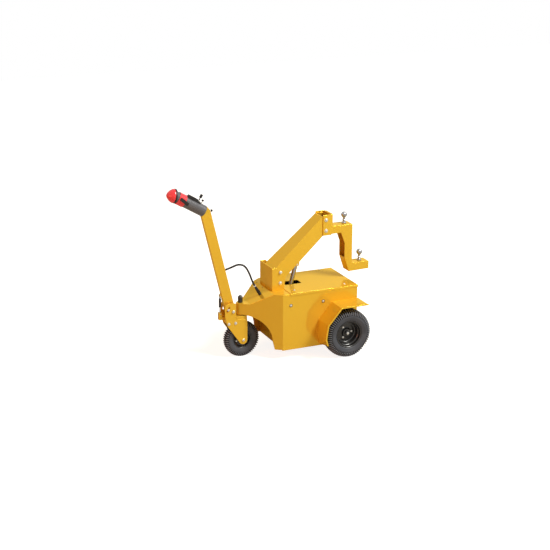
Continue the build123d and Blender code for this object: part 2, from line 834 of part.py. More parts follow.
# Tiller bar: a rectangular tube, cut at the top to meet the head's rear face
bar_up = 90 - tiller_lean
rear_line = along(pivot, bar_up + 90, bar_behind_pivot)
front_line = along(pivot, bar_up - 90, bar_depth - bar_behind_pivot)
rear_top = along(rear_line, bar_up, bar_rear_length)
housing_rear = along(along(rear_top, bar_up, head_seat_run), bar_up - 90, head_seat_across)
housing_low = along(housing_rear, housing_angle - 90, housing_radius)
housing_high = along(housing_rear, housing_angle + 90, housing_radius)
housing_axis = (math.cos(math.radians(housing_angle)), 0, math.sin(math.radians(housing_angle)))


def housing_plane(distance):
    """A plane square to the head's axis, at a distance from its rear face."""
    x, z = along(housing_rear, housing_angle, distance)
    return Plane(origin=(x, 0, z), x_dir=(0, 1, 0), z_dir=housing_axis)


def bar_length_to(x, start):
    """How far along the bar from a start point its edge reaches a given X."""
    return (x - start[0]) / math.cos(math.radians(bar_up))


front_top = along(front_line, bar_up, bar_length_to(housing_low[0] + bar_seam, front_line))
bar_outline = (
    along(rear_line, bar_up, -bar_below_pivot),
    rear_top,
    along(housing_high, housing_angle, bar_seam),
    front_top,
    along(front_line, bar_up, -bar_below_pivot),
)
stop_pin_at = along(pivot, stop_angle, stop_radius)
strut_top = (strut_top_x, strut_top_z)
with BuildPart() as tiller_bar:
    with BuildSketch(side_plane(bar_width / 2)) as bar_side:
        Polygon(*bar_outline, align=None)
        fillet(bar_side.vertices().sort_by_distance((rear_top[0], rear_top[1], 0))[0], radius=bar_top_round)
    extrude(amount=bar_width)
    with BuildSketch(side_plane(bar_width / 2 - bar_wall)):
        Polygon(*bar_outline, align=None)
        offset(amount=-bar_wall, kind=Kind.INTERSECTION, mode=Mode.REPLACE)
    extrude(amount=bar_width - 2 * bar_wall, mode=Mode.SUBTRACT)
    lug_low = along(front_line, bar_up, strut_lug_low)
    lug_high = along(front_line, bar_up, strut_lug_high)
    for start in (lug_gap / 2 + lug_wall, -lug_gap / 2):
        with BuildSketch(side_plane(start)):
            Polygon(
                along(lug_low, bar_up + 90, strut_lug_sink),
                along(strut_top, bar_up - 120, strut_pin_radius + strut_lug_wall),
                along(strut_top, bar_up - 60, strut_pin_radius + strut_lug_wall),
                along(lug_high, bar_up + 90, strut_lug_sink),
                align=None,
            )
        extrude(amount=lug_wall)
    with BuildSketch(Plane.XZ):
        with Locations(pivot):
            Circle(tiller_pin_radius + running_fit)
        with Locations(stop_pin_at):
            Circle(stop_pin_radius + running_fit)
        with Locations(strut_top):
            Circle(strut_pin_radius + running_fit)
    extrude(amount=bar_width, both=True, mode=Mode.SUBTRACT)
    with BuildSketch(housing_plane(0)):
        Circle(housing_radius * 2)
    extrude(amount=housing_radius, mode=Mode.SUBTRACT)

with BuildPart() as slot_pin:
    pin_reach = fork_outer_y + slot_pin_reach
    with BuildSketch(side_plane(pin_reach)):
        with Locations(stop_pin_at):
            Circle(stop_pin_radius)
    extrude(amount=2 * pin_reach)
    with BuildSketch(side_plane(pin_reach + bolt_head_height)):
        with Locations(stop_pin_at):
            RegularPolygon(slot_pin_head_radius, 6)
    extrude(amount=bolt_head_height)

# Tiller head: housing, ring, red button, red rockers, switch box, key switch and key
button_seat = along(housing_rear, housing_angle, button_reach)
button_axis = (math.cos(math.radians(button_angle)), 0, math.sin(math.radians(button_angle)))


def button_plane(distance):
    """A plane square to the button's axis, at a distance ahead of its seat."""
    x, z = along(button_seat, button_angle, distance)
    return Plane(origin=(x, 0, z), x_dir=(0, 1, 0), z_dir=button_axis)


def head_side(lift):
    """A plane beside the head, with X along its axis from the rear face and Y square to it."""
    return Plane(origin=(housing_rear[0], lift, housing_rear[1]), x_dir=housing_axis, z_dir=(0, -1, 0))


def on_housing(distance, lift):
    """A plane lying above the head, with X along its axis."""
    top = along(along(housing_rear, housing_angle, distance), housing_angle + 90, lift)
    up = (-housing_axis[2], 0, housing_axis[0])
    return Plane(origin=(top[0], 0, top[1]), x_dir=housing_axis, z_dir=up)


with BuildPart() as tiller_housing:
    with BuildSketch(housing_plane(0)):
        Circle(housing_radius)
    extrude(amount=button_reach + housing_radius)
    fillet(tiller_housing.edges().filter_by(GeomType.CIRCLE).sort_by(Axis.X)[0], radius=housing_round)
    with BuildSketch(button_plane(-ring_length)):
        Circle(button_reach)
    extrude(amount=button_reach, mode=Mode.SUBTRACT)

with BuildPart() as red_collar:
    with BuildSketch(housing_plane(collar_band_start)):
        Circle(housing_radius + seat_gap + collar_band_wall)
        Circle(housing_radius + seat_gap, mode=Mode.SUBTRACT)
    extrude(amount=collar_band_length)

with BuildPart() as head_ring:
    with BuildSketch(button_plane(-ring_length)):
        Circle(ring_radius)
    extrude(amount=ring_length)

with BuildPart() as red_button:
    with BuildSketch(Plane(origin=button_plane(0).origin, x_dir=button_axis, z_dir=(0, -1, 0))):
        with BuildLine():
            Line((0, 0), (button_depth, 0))
            TangentArc((button_depth, 0), (0, button_radius), tangent=(0, 1))
            Line((0, button_radius), (0, 0))
        make_face()
    revolve(axis=Axis(button_plane(0).origin, button_axis))

# Switch box on a low base, saddled on the head, with the key switch on the same base
saddle_lift = math.sqrt(housing_radius ** 2 - (box_width / 2) ** 2)
with BuildPart() as switch_box:
    for start, length, height in (
        (box_start, box_length, box_height),
        (base_start, base_length, base_height),
    ):
        with BuildSketch(on_housing(start + length / 2, saddle_lift)):
            RectangleRounded(length, box_width, box_round)
        extrude(amount=housing_radius - saddle_lift + height)
    with BuildSketch(housing_plane(0)):
        Circle(housing_radius + seat_gap)
    extrude(amount=button_reach, mode=Mode.SUBTRACT)

key_base = housing_radius + base_height
with BuildPart() as key_switch:
    with BuildSketch(on_housing(key_at, key_base)):
        Circle(key_switch_radius)
    extrude(amount=key_switch_height)

with BuildPart() as ignition_key:
    with BuildSketch(on_housing(key_at, key_base + key_switch_height)):
        Rectangle(key_stem[0], key_stem[1])
    extrude(amount=key_stem[2])
    with BuildSketch(on_housing(key_at, key_base + key_switch_height + key_stem[2])):
        Rectangle(key_bow[0], key_bow[1])
    extrude(amount=key_bow[2])
    fillet(ignition_key.edges().filter_by(Axis.Y).sort_by(Axis.Z)[-2:], radius=key_bow_round)


def thumb_lever(side):
    """A flat lever beside the head, tilted over the red collar, on a boss that holds it off."""
    inner = housing_radius + collar_band_wall + lever_gap
    middle = (lever_start + lever_end) / 2
    with BuildPart() as lever:
        with BuildSketch(head_side(side * inner if side < 0 else inner + lever_wall)):
            with Locations((middle, 0)):
                RectangleRounded(lever_end - lever_start, lever_width, lever_width / 3, rotation=lever_tilt)
        extrude(amount=lever_wall)
        with BuildSketch(head_side(-inner + inner / 2 if side < 0 else inner)):
            with Locations((lever_start + lever_width / 3, -lever_boss_radius / 2)):
                Circle(lever_boss_radius)
        extrude(amount=inner / 2)
        with BuildSketch(housing_plane(0)):
            Circle(housing_radius + seat_gap)
        extrude(amount=button_reach, mode=Mode.SUBTRACT)
    return lever


throttle_left = thumb_lever(1)
throttle_right = thumb_lever(-1)

# Gas strut: barrel on the bar, rod down to the fork's tab
strut_length = math.dist(strut_top, (strut_foot_x, strut_foot_z))
strut_angle = math.degrees(math.atan2(strut_foot_z - strut_top[1], strut_foot_x - strut_top[0]))
strut_axis = (math.cos(math.radians(strut_angle)), 0, math.sin(math.radians(strut_angle)))


def strut_plane(distance):
    """A plane square to the strut, at a distance below its upper eye."""
    x, z = along(strut_top, strut_angle, distance)
    return Plane(origin=(x, strut_y, z), x_dir=(0, 1, 0), z_dir=strut_axis)


with BuildPart() as strut_barrel:
    with BuildSketch(strut_plane(0)):
        Circle(strut_eye_half_width)
    extrude(amount=strut_barrel_length)
    with BuildSketch(strut_plane(strut_neck)):
        Circle(strut_barrel_radius)
    extrude(amount=strut_barrel_length - strut_neck)
    with BuildSketch(side_plane(strut_y + strut_eye_half_width)):
        with Locations(strut_top):
            Circle(strut_eye_radius)
    extrude(amount=2 * strut_eye_half_width)
    with BuildSketch(strut_plane(strut_barrel_length - strut_bore)):
        Circle(strut_rod_radius + running_fit)
    extrude(amount=strut_bore, mode=Mode.SUBTRACT)
    with BuildSketch(side_plane(strut_y + strut_barrel_radius)):
        with Locations(strut_top):
            Circle(strut_pin_radius + running_fit)
    extrude(amount=2 * strut_barrel_radius, mode=Mode.SUBTRACT)

# The strut's foot is an open pivot, so its eye is wider than its pin
strut_foot_hole = strut_foot_pin_radius + strut_foot_drift
with BuildPart() as strut_rod:
    with BuildSketch(strut_plane(strut_barrel_length - strut_rod_overlap)):
        Circle(strut_rod_radius)
    extrude(amount=strut_length - strut_barrel_length + strut_rod_overlap)
    with BuildSketch(side_plane(strut_y + strut_eye_half_width)):
        with Locations((strut_foot_x, strut_foot_z)):
            Circle(strut_foot_hole + strut_foot_eye_wall)
    extrude(amount=2 * strut_eye_half_width)
    with BuildSketch(side_plane(strut_y + strut_eye_half_width)):
        with Locations((strut_foot_x, strut_foot_z)):
            Circle(strut_foot_hole)
    extrude(amount=2 * strut_eye_half_width, mode=Mode.SUBTRACT)

lug_reach = lug_gap / 2 + lug_wall
with BuildPart() as strut_head_pin:
    with BuildSketch(side_plane(lug_reach + strut_pin_head)):
        with Locations(strut_top):
            Circle(strut_pin_radius)
    extrude(amount=2 * (lug_reach + strut_pin_head))

with BuildPart() as strut_foot_pin:
    with BuildSketch(side_plane(lug_reach + strut_pin_head)):
        with Locations((strut_foot_x, strut_foot_z)):
            Circle(strut_foot_pin_radius)
    extrude(amount=2 * (lug_reach + strut_pin_head))

# Boom: a tapered box, cut square at its foot and upright at its tip
boom_turn = math.radians(boom_angle)
boom_back = (-math.cos(boom_turn), math.sin(boom_turn))
boom_over = (math.sin(boom_turn), math.cos(boom_turn))


def boom_point(s, t):
    """X and Z of a point given along and square to the boom."""
    x = boom_pivot_x + s * boom_back[0] + t * boom_over[0]
    z = boom_pivot_z + s * boom_back[1] + t * boom_over[1]
    return (x, z)


def boom_edge_z(t, x):
    """Height of a line along the boom, t from its pivot, at a given X."""
    s = (x - boom_pivot_x - t * boom_over[0]) / boom_back[0]
    return boom_pivot_z + s * boom_back[1] + t * boom_over[1]


def boom_edge_x(t, z):
    """X where a line along the boom, t from its pivot, reaches a given Z."""
    s = (z - boom_pivot_z - t * boom_over[1]) / boom_back[1]
    return boom_pivot_x + s * boom_back[0] + t * boom_over[0]


boom_side = (
    boom_point(-boom_foot_run, boom_above_pivot),
    (boom_edge_x(boom_above_pivot, boom_tip_top_z), boom_tip_top_z),
    (boom_tip_x, boom_tip_top_z),
    (boom_tip_x, boom_tip_low_z),
    (boom_edge_x(-boom_below_pivot, boom_tip_low_z), boom_tip_low_z),
    boom_point(0, -boom_below_pivot),
    boom_point(-boom_foot_run, boom_chamfer_t),
)
mouth_z = boom_tip_top_z + boom_wall
boom_hollow = (
    boom_point(-boom_foot_run - boom_wall, boom_above_pivot - boom_wall),
    (boom_edge_x(boom_above_pivot - boom_wall, mouth_z), mouth_z),
    (boom_tip_x + boom_wall, mouth_z),
    (boom_tip_x + boom_wall, boom_tip_low_z + boom_wall),
    (boom_edge_x(-boom_below_pivot + boom_wall, boom_tip_low_z + boom_wall), boom_tip_low_z + boom_wall),
    boom_point(boom_wall * boom_foot_inset[0], -boom_below_pivot + boom_wall),
    boom_point(-boom_foot_run - boom_wall, boom_chamfer_t + boom_wall * boom_foot_inset[1]),
)


def boom_plan(inset):
    """The boom's plan, tapering from its foot to its tip."""
    foot_x = boom_pivot_x + beyond
    foot_y = boom_foot_half_width - inset
    tip_y = clamp_half_width - clamp_wall - running_fit - inset
    return (
        (foot_x, -foot_y),
        (foot_x, foot_y),
        (clamp_front_x, tip_y),
        (boom_tip_x, tip_y),
        (boom_tip_x, -tip_y),
        (clamp_front_x, -tip_y),
    )


with BuildPart() as boom_void:
    with BuildSketch(side_plane(bracket_half_width)):
        Polygon(*boom_hollow, align=None)
    extrude(amount=2 * bracket_half_width)
    with BuildSketch(Plane.XY.offset(body_top_z)):
        Polygon(*boom_plan(boom_wall), align=None)
    extrude(amount=clamp_top_z, mode=Mode.INTERSECT)

with BuildPart() as boom_tube:
    with BuildSketch(side_plane(bracket_half_width)):
        Polygon(*boom_side, align=None)
    extrude(amount=2 * bracket_half_width)
    with BuildSketch(Plane.XY.offset(body_top_z)):
        Polygon(*boom_plan(0), align=None)
    extrude(amount=clamp_top_z, mode=Mode.INTERSECT)
    add(boom_void.part, mode=Mode.SUBTRACT)
    with BuildSketch(Plane.XZ):
        with Locations((boom_pivot_x, boom_pivot_z)):
            Circle(boom_pin_radius + running_fit)
    extrude(amount=bracket_half_width, both=True, mode=Mode.SUBTRACT)
    ear_start = lift_eye_half_width + lift_ear_gap
    ear_root_z = [boom_edge_z(-boom_below_pivot, lift_eye_x + reach) + 1 for reach in lift_ear_root]
    for start in (ear_start + lift_ear_wall, -ear_start):
        with BuildSketch(side_plane(start)):
            Polygon(
                (lift_eye_x + lift_ear_root[0], ear_root_z[0]),
                (lift_eye_x + lift_ear_root[1], ear_root_z[1]),
                (lift_eye_x + lift_ear_tip[1], lift_eye_z - lift_ear_below),
                (lift_eye_x + lift_ear_tip[0], lift_eye_z - lift_ear_below),
                align=None,
            )
        extrude(amount=lift_ear_wall)
    with BuildSketch(Plane.XZ):
        with Locations((lift_eye_x, lift_eye_z)):
            Circle(lift_pin_radius + running_fit)
    extrude(amount=ear_start + lift_ear_wall, both=True, mode=Mode.SUBTRACT)

# Clamp round the boom's tip
with BuildPart() as clamp_channel:
    with BuildSketch(Plane.XY.offset(clamp_bottom_z)):
        with Locations(((clamp_front_x + clamp_rear_x) / 2, 0)):
            Rectangle(clamp_front_x - clamp_rear_x, 2 * clamp_half_width)
        with Locations(((clamp_front_x + clamp_rear_x) / 2 + clamp_wall, 0)):
            Rectangle(clamp_front_x - clamp_rear_x, 2 * (clamp_half_width - clamp_wall), mode=Mode.SUBTRACT)
    extrude(amount=clamp_top_z - clamp_bottom_z)
    bend_edges = clamp_channel.edges().filter_by(Axis.Z).group_by(Axis.X)[0]
    fillet(bend_edges, radius=clamp_bend)

# Hitch: folded side plates with a back, a top plate, a shelf and a sloping foot
hitch_side = (
    (clamp_rear_x - hitch_mount_depth, hitch_arm_bottom_z),
    (clamp_rear_x - hitch_mount_depth, hitch_top_z),
    (hitch_rear_x, hitch_top_z),
    (hitch_rear_x, shelf_top_z),
    (shelf_end_x, shelf_top_z),
    (shelf_end_x, hitch_foot_z + shelf_end_rise),
    (hitch_foot_x, hitch_foot_z),
    (hitch_column_front_x, hitch_slope_top_z),
    (hitch_column_front_x, hitch_gusset_z),
    (hitch_gusset_x, hitch_arm_bottom_z),
)
hitch_hollow = (
    (clamp_rear_x - hitch_mount_depth, hitch_arm_bottom_z - beyond),
    (clamp_rear_x - hitch_mount_depth, hitch_top_z - hitch_wall),
    (hitch_rear_x + hitch_wall, hitch_top_z - hitch_wall),
    (hitch_rear_x + hitch_wall, shelf_top_z - hitch_wall),
    (shelf_end_x - beyond, shelf_top_z - hitch_wall),
    (shelf_end_x - beyond, hitch_foot_z - beyond),
    (hitch_foot_x - hitch_plate_gap, hitch_foot_z - beyond),
    (hitch_foot_x - hitch_plate_gap, hitch_foot_z),
    (hitch_column_front_x - hitch_wall, hitch_slope_top_z),
    (hitch_column_front_x + beyond, hitch_slope_top_z),
    (hitch_column_front_x + beyond, hitch_arm_bottom_z - beyond),
)
with BuildPart() as hitch_bracket:
    with BuildSketch(side_plane(hitch_half_width)):
        Polygon(*hitch_side, align=None)
    extrude(amount=2 * hitch_half_width)
    with BuildSketch(side_plane(hitch_half_width - hitch_wall)):
        Polygon(*hitch_hollow, align=None)
    extrude(amount=2 * (hitch_half_width - hitch_wall), mode=Mode.SUBTRACT)
    with BuildSketch(Plane.YZ.offset(clamp_rear_x - hitch_mount_depth)):
        with Locations((0, (clamp_bottom_z + clamp_top_z) / 2)):
            RectangleRounded(2 * hitch_mount_half_width, clamp_top_z - clamp_bottom_z, clamp_wall)
    extrude(amount=hitch_mount_depth)
    for x, z in ((upper_ball_x, hitch_top_z), (lower_ball_x, shelf_top_z)):
        with BuildSketch(Plane.XY.offset(z - hitch_wall)):
            with Locations((x, 0)):
                Circle(ball_shank_radius + running_fit)
        extrude(amount=hitch_wall, mode=Mode.SUBTRACT)


def tow_ball(x, seat_z):
    """A 50 mm ball on its neck, flange, shank and nut."""
    with BuildPart() as ball:
        with BuildSketch(Plane.XY.offset(seat_z)):
            with Locations((x, 0)):
                Circle(ball_flange_radius)
        extrude(amount=ball_flange_height)
        with BuildSketch(Plane.XY.offset(seat_z)):
            with Locations((x, 0)):
                Circle(ball_neck_radius)
        extrude(amount=ball_rise)
        with Locations((x, 0, seat_z + ball_rise)):
            Sphere(ball_radius)
        with BuildSketch(Plane.XY.offset(seat_z)):
            with Locations((x, 0)):
                Circle(ball_shank_radius)
        extrude(amount=-hitch_wall - ball_nut_height)
        with BuildSketch(Plane.XY.offset(seat_z - hitch_wall)):
            with Locations((x, 0)):
                RegularPolygon(ball_flange_radius, 6)
        extrude(amount=-ball_nut_height)
        split(bisect_by=Plane.XY.offset(seat_z + ball_rise + ball_radius * ball_flat), keep=Keep.BOTTOM)
    return ball


tow_ball_upper = tow_ball(upper_ball_x, hitch_top_z)
tow_ball_lower = tow_ball(lower_ball_x, shelf_top_z)

# Lift actuator
lift_base = (lift_base_x, lift_base_z)
lift_eye = (lift_eye_x, lift_eye_z)
lift_angle = math.degrees(math.atan2(lift_eye_z - lift_base_z, lift_eye_x - lift_base_x))
lift_length = math.dist(lift_base, lift_eye)
lift_axis = (math.cos(math.radians(lift_angle)), 0, math.sin(math.radians(lift_angle)))


def lift_plane(distance):
    """A plane square to the actuator, at a distance above its base pin."""
    x, z = along(lift_base, lift_angle, distance)
    return Plane(origin=(x, 0, z), x_dir=(0, 1, 0), z_dir=lift_axis)


with BuildPart() as lift_barrel:
    with BuildSketch(lift_plane(0)):
        Circle(lift_eye_half_width)
    extrude(amount=lift_barrel_length)
    with BuildSketch(lift_plane(lift_barrel_start)):
        Circle(lift_barrel_radius)
    extrude(amount=lift_barrel_length - lift_barrel_start)
    with BuildSketch(side_plane(lift_eye_half_width)):
        with Locations(lift_base):
            Circle(lift_boss_radius)
    extrude(amount=2 * lift_eye_half_width)
    with BuildSketch(lift_plane(lift_barrel_length - lift_rod_overlap - lift_bore_spare)):
        Circle(lift_rod_radius + running_fit)
    extrude(amount=lift_rod_overlap + lift_bore_spare, mode=Mode.SUBTRACT)
    with BuildSketch(side_plane(lift_eye_half_width)):
        with Locations(lift_base):
            Circle(lift_pin_radius + running_fit)
    extrude(amount=2 * lift_eye_half_width, mode=Mode.SUBTRACT)

# The rod's eye is an open pivot, with more room round its pin
lift_rod_hole = lift_pin_radius + open_pivot_gap
with BuildPart() as lift_rod:
    with BuildSketch(lift_plane(lift_barrel_length - lift_rod_overlap)):
        Circle(lift_rod_radius)
    extrude(amount=lift_length - lift_barrel_length + lift_rod_overlap - lift_rod_hole)
    with BuildSketch(side_plane(lift_eye_half_width)):
        with Locations(lift_eye):
            Circle(lift_rod_hole + lift_rod_eye_wall)
    extrude(amount=2 * lift_eye_half_width)
    with BuildSketch(side_plane(lift_eye_half_width)):
        with Locations(lift_eye):
            Circle(lift_rod_hole)
    extrude(amount=2 * lift_eye_half_width, mode=Mode.SUBTRACT)

mount_reach = lift_eye_half_width + lift_ear_gap + lift_ear_wall
with BuildPart() as lift_mount:
    for start in (mount_reach, -mount_reach + lift_ear_wall):
        with BuildSketch(side_plane(start)):
            Polygon(
                (lift_base_x - mount_foot_half, body_bottom_z + sheet_wall),
                (lift_base_x + mount_foot_half, body_bottom_z + sheet_wall),
                (lift_base_x + mount_top_half, lift_base_z + mount_above_pin),
                (lift_base_x - mount_top_half, lift_base_z + mount_above_pin),
                align=None,
            )
        extrude(amount=lift_ear_wall)
    with BuildSketch(Plane.XY.offset(body_bottom_z + sheet_wall)):
        with Locations((lift_base_x, 0)):
            Rectangle(2 * mount_foot_half, 2 * mount_reach)
    extrude(amount=lift_ear_wall)
    with BuildSketch(side_plane(mount_reach)):
        with Locations(lift_base):
            Circle(lift_pin_radius)
    extrude(amount=2 * mount_reach)

with BuildPart() as lift_eye_pin:
    with BuildSketch(side_plane(mount_reach + lift_pin_head)):
        with Locations(lift_eye):
            Circle(lift_pin_radius)
    extrude(amount=2 * (mount_reach + lift_pin_head))

# Control cable: from the bar's rear face over to the gland on the sloping deck
deck_up = 90 - math.degrees(deck_slope)
gland_foot = (gland_x, body_top_z - (gland_x - deck_break_x) * math.tan(deck_slope))
cable_top = along(along(rear_line, bar_up, cable_up_bar), bar_up + 90, seat_gap)
cable_leaves = along(cable_top, bar_up + 90, cable_first_run)
cable_lands = along(gland_foot, deck_up, gland_height + cable_last_run)
cable_end = along(gland_foot, deck_up, gland_height + seat_gap)
cable_points = (
    (cable_top[0], cable_y, cable_top[1]),
    (cable_leaves[0], cable_y, cable_leaves[1]),
    *cable_route,
    (cable_lands[0], gland_y, cable_lands[1]),
    (cable_end[0], gland_y, cable_end[1]),
)


def cable_radii(points):
    """As large an arc at each corner as its two runs allow."""
    radii = []
    for before, here, after in zip(points, points[1:], points[2:]):
        first = Vector(*here) - Vector(*before)
        second = Vector(*after) - Vector(*here)
        half_turn = math.radians(first.get_angle(second)) / 2
        radii.append(0.45 * min(first.length, second.length) / math.tan(half_turn))
    return radii


radii = cable_radii(cable_points)
print("cable radii", [round(r) for r in radii])
with BuildPart() as control_cable:
    with BuildLine() as cable_path:
        FilletPolyline(*cable_points, radius=radii)
    with BuildSketch(Plane(origin=cable_path.line @ 0, z_dir=cable_path.line % 0)):
        Circle(cable_radius)
    sweep()
cable_length = sum(edge.length for edge in cable_path.line.edges())
cable_section = math.pi * cable_radius ** 2
print("cable length", round(cable_length), "volume ratio",
      round(control_cable.part.volume / (cable_section * cable_length), 4))

with BuildPart() as cable_gland:
    deck_normal = (math.sin(deck_slope), 0, math.cos(deck_slope))
    with BuildSketch(Plane(origin=(gland_foot[0], gland_y, gland_foot[1]), z_dir=deck_normal)):
        RegularPolygon(gland_radius, 6)
    extrude(amount=gland_height * gland_nut_share)
    with BuildSketch(Plane(origin=(gland_foot[0], gland_y, gland_foot[1]), z_dir=deck_normal)):
        Circle(gland_radius * gland_top_share)
    extrude(amount=gland_height)

pieces = {
    "body_shell": body_shell, "steering_cap": steering_cap,
    "battery_lid": battery_lid, "boom_bracket": boom_bracket, "boom_pin": boom_pin,
    "fender_left": fender_left, "fender_right": fender_right, "drive_axle": drive_axle,
    "battery_block": battery_block, "lift_mount": lift_mount, "cable_gland": cable_gland,
    "rear_tyre_left": rear_tyre_left, "rear_tyre_right": rear_tyre_right,
    "rear_rim_left": rear_rim_left, "rear_rim_right": rear_rim_right,
    "front_tyre": front_tyre, "front_rim": front_rim,
    "fork_frame": fork_frame, "kingpin": kingpin, "front_axle": front_axle, "tiller_pin": tiller_pin,
    "strut_foot_pin": strut_foot_pin, "control_cable": control_cable,
    "tiller_bar": tiller_bar, "slot_pin": slot_pin, "tiller_housing": tiller_housing,
    "red_collar": red_collar, "head_ring": head_ring, "red_button": red_button,
    "switch_box": switch_box, "key_switch": key_switch, "ignition_key": ignition_key,
    "throttle_left": throttle_left, "throttle_right": throttle_right,
    "strut_head_pin": strut_head_pin, "strut_barrel": strut_barrel, "strut_rod": strut_rod,
    "boom_tube": boom_tube, "clamp_channel": clamp_channel,
    "hitch_bracket": hitch_bracket, "tow_ball_upper": tow_ball_upper, "tow_ball_lower": tow_ball_lower,
    "lift_eye_pin": lift_eye_pin, "lift_barrel": lift_barrel, "lift_rod": lift_rod,
}
for name, piece in pieces.items():
    piece.part.label = name
    export_step(piece.part, f"parts/{name}.step")
print(len(pieces), "pieces written")
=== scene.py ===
import bpy
import bmesh
import json
import math
from mathutils import Matrix, Vector


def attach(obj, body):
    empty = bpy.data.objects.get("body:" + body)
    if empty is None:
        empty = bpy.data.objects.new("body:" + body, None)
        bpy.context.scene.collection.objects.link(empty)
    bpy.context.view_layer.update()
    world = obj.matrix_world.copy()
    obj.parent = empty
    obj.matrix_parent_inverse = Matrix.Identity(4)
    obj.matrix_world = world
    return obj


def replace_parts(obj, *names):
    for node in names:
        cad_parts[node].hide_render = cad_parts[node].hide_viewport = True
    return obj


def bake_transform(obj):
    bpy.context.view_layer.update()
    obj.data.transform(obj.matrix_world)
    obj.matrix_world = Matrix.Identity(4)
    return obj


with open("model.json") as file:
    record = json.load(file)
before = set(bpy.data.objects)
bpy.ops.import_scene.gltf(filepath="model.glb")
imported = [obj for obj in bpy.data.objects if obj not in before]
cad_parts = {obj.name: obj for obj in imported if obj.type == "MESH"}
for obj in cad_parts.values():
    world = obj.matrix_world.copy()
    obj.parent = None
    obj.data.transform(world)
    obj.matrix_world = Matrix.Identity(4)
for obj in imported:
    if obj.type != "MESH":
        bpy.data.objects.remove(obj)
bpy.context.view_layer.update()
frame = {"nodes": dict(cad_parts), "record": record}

nodes = frame["nodes"]
mm = 0.001
rearAxleX = -0.523


# Camera, at the photograph's viewing angle
cameraSettings = {"azimuth": 156.39, "elevation": 17.81, "lens": 87.28, "sensor": 36, "farClip": 60,
                  "place": (4.06829, 9.40524, 3.94539)}


def addCamera(settings):
    data = bpy.data.cameras.new("photoCamera")
    data.lens = settings["lens"]
    data.sensor_width = settings["sensor"]
    data.clip_end = settings["farClip"]
    camera = bpy.data.objects.new("photoCamera", data)
    bpy.context.scene.collection.objects.link(camera)
    turn = math.radians(settings["azimuth"])
    rise = math.radians(settings["elevation"])
    back = Vector((math.sin(turn) * math.cos(rise), -math.cos(turn) * math.cos(rise), math.sin(rise)))
    camera.matrix_world = Matrix.Translation(settings["place"]) @ back.to_track_quat("Z", "Y").to_matrix().to_4x4()
    bpy.context.scene.camera = camera


addCamera(cameraSettings)
print("camera ready")


# Shader groups shared by the finishes
noiseSettings = {"driftDetail": 5, "driftLow": 0.35, "driftHigh": 0.65, "bumpDetail": 3}


def newGroup(name, inputs, outputs):
    group = bpy.data.node_groups.new(name, "ShaderNodeTree")
    for label, kind, value in inputs:
        socket = group.interface.new_socket(name=label, in_out="INPUT", socket_type=kind)
        if value is not None:
            socket.default_value = value
    for label, kind in outputs:
        group.interface.new_socket(name=label, in_out="OUTPUT", socket_type=kind)
    return group, group.nodes.new("NodeGroupInput"), group.nodes.new("NodeGroupOutput")


def mottleGroup():
    group, into, out = newGroup(
        "surfaceDrift",
        [("Base", "NodeSocketColor", (0.5, 0.5, 0.5, 1)), ("Other", "NodeSocketColor", (0.4, 0.4, 0.4, 1)),
         ("Scale", "NodeSocketFloat", 6.0), ("Amount", "NodeSocketFloat", 0.5),
         ("Rough Low", "NodeSocketFloat", 0.2), ("Rough High", "NodeSocketFloat", 0.35)],
        [("Color", "NodeSocketColor"), ("Roughness", "NodeSocketFloat")])
    make = group.nodes.new
    link = group.links.new
    place = make("ShaderNodeTexCoord")
    noise = make("ShaderNodeTexNoise")
    noise.inputs["Detail"].default_value = noiseSettings["driftDetail"]
    link(place.outputs["Object"], noise.inputs["Vector"])
    link(into.outputs["Scale"], noise.inputs["Scale"])
    spread = make("ShaderNodeMapRange")
    spread.inputs["From Min"].default_value = noiseSettings["driftLow"]
    spread.inputs["From Max"].default_value = noiseSettings["driftHigh"]
    link(noise.outputs["Fac"], spread.inputs["Value"])
    share = make("ShaderNodeMath")
    share.operation = "MULTIPLY"
    link(spread.outputs["Result"], share.inputs[0])
    link(into.outputs["Amount"], share.inputs[1])
    mix = make("ShaderNodeMix")
    mix.data_type = "RGBA"
    link(share.outputs[0], mix.inputs["Factor"])
    link(into.outputs["Base"], mix.inputs["A"])
    link(into.outputs["Other"], mix.inputs["B"])
    rough = make("ShaderNodeMapRange")
    link(spread.outputs["Result"], rough.inputs["Value"])
    link(into.outputs["Rough Low"], rough.inputs["To Min"])
    link(into.outputs["Rough High"], rough.inputs["To Max"])
    link(mix.outputs["Result"], out.inputs["Color"])
    link(rough.outputs["Result"], out.inputs["Roughness"])
    return group


def fineBumpGroup():
    group, into, out = newGroup(
        "fineBump",
        [("Scale", "NodeSocketFloat", 300.0), ("Strength", "NodeSocketFloat", 0.1),
         ("Depth", "NodeSocketFloat", 0.0005), ("Stretch", "NodeSocketVector", (1, 1, 1))],
        [("Normal", "NodeSocketVector")])
    make = group.nodes.new
    link = group.links.new
    place = make("ShaderNodeTexCoord")
    stretch = make("ShaderNodeVectorMath")
    stretch.operation = "MULTIPLY"
    link(place.outputs["Object"], stretch.inputs[0])
    link(into.outputs["Stretch"], stretch.inputs[1])
    noise = make("ShaderNodeTexNoise")
    noise.inputs["Detail"].default_value = noiseSettings["bumpDetail"]
    link(stretch.outputs[0], noise.inputs["Vector"])
    link(into.outputs["Scale"], noise.inputs["Scale"])
    bump = make("ShaderNodeBump")
    link(noise.outputs["Fac"], bump.inputs["Height"])
    link(into.outputs["Strength"], bump.inputs["Strength"])
    link(into.outputs["Depth"], bump.inputs["Distance"])
    link(bump.outputs["Normal"], out.inputs["Normal"])
    return group


surfaceDrift = mottleGroup()
fineBump = fineBumpGroup()
usualFinish = {"scale": 6, "amount": 0.5, "bumpScale": 300, "bump": 0.1, "depth": 0.0004, "stretch": (1, 1, 1),
               "metal": 0, "coat": 0, "coatRough": 0.05, "specular": 0.5, "edge": (1, 1, 1)}


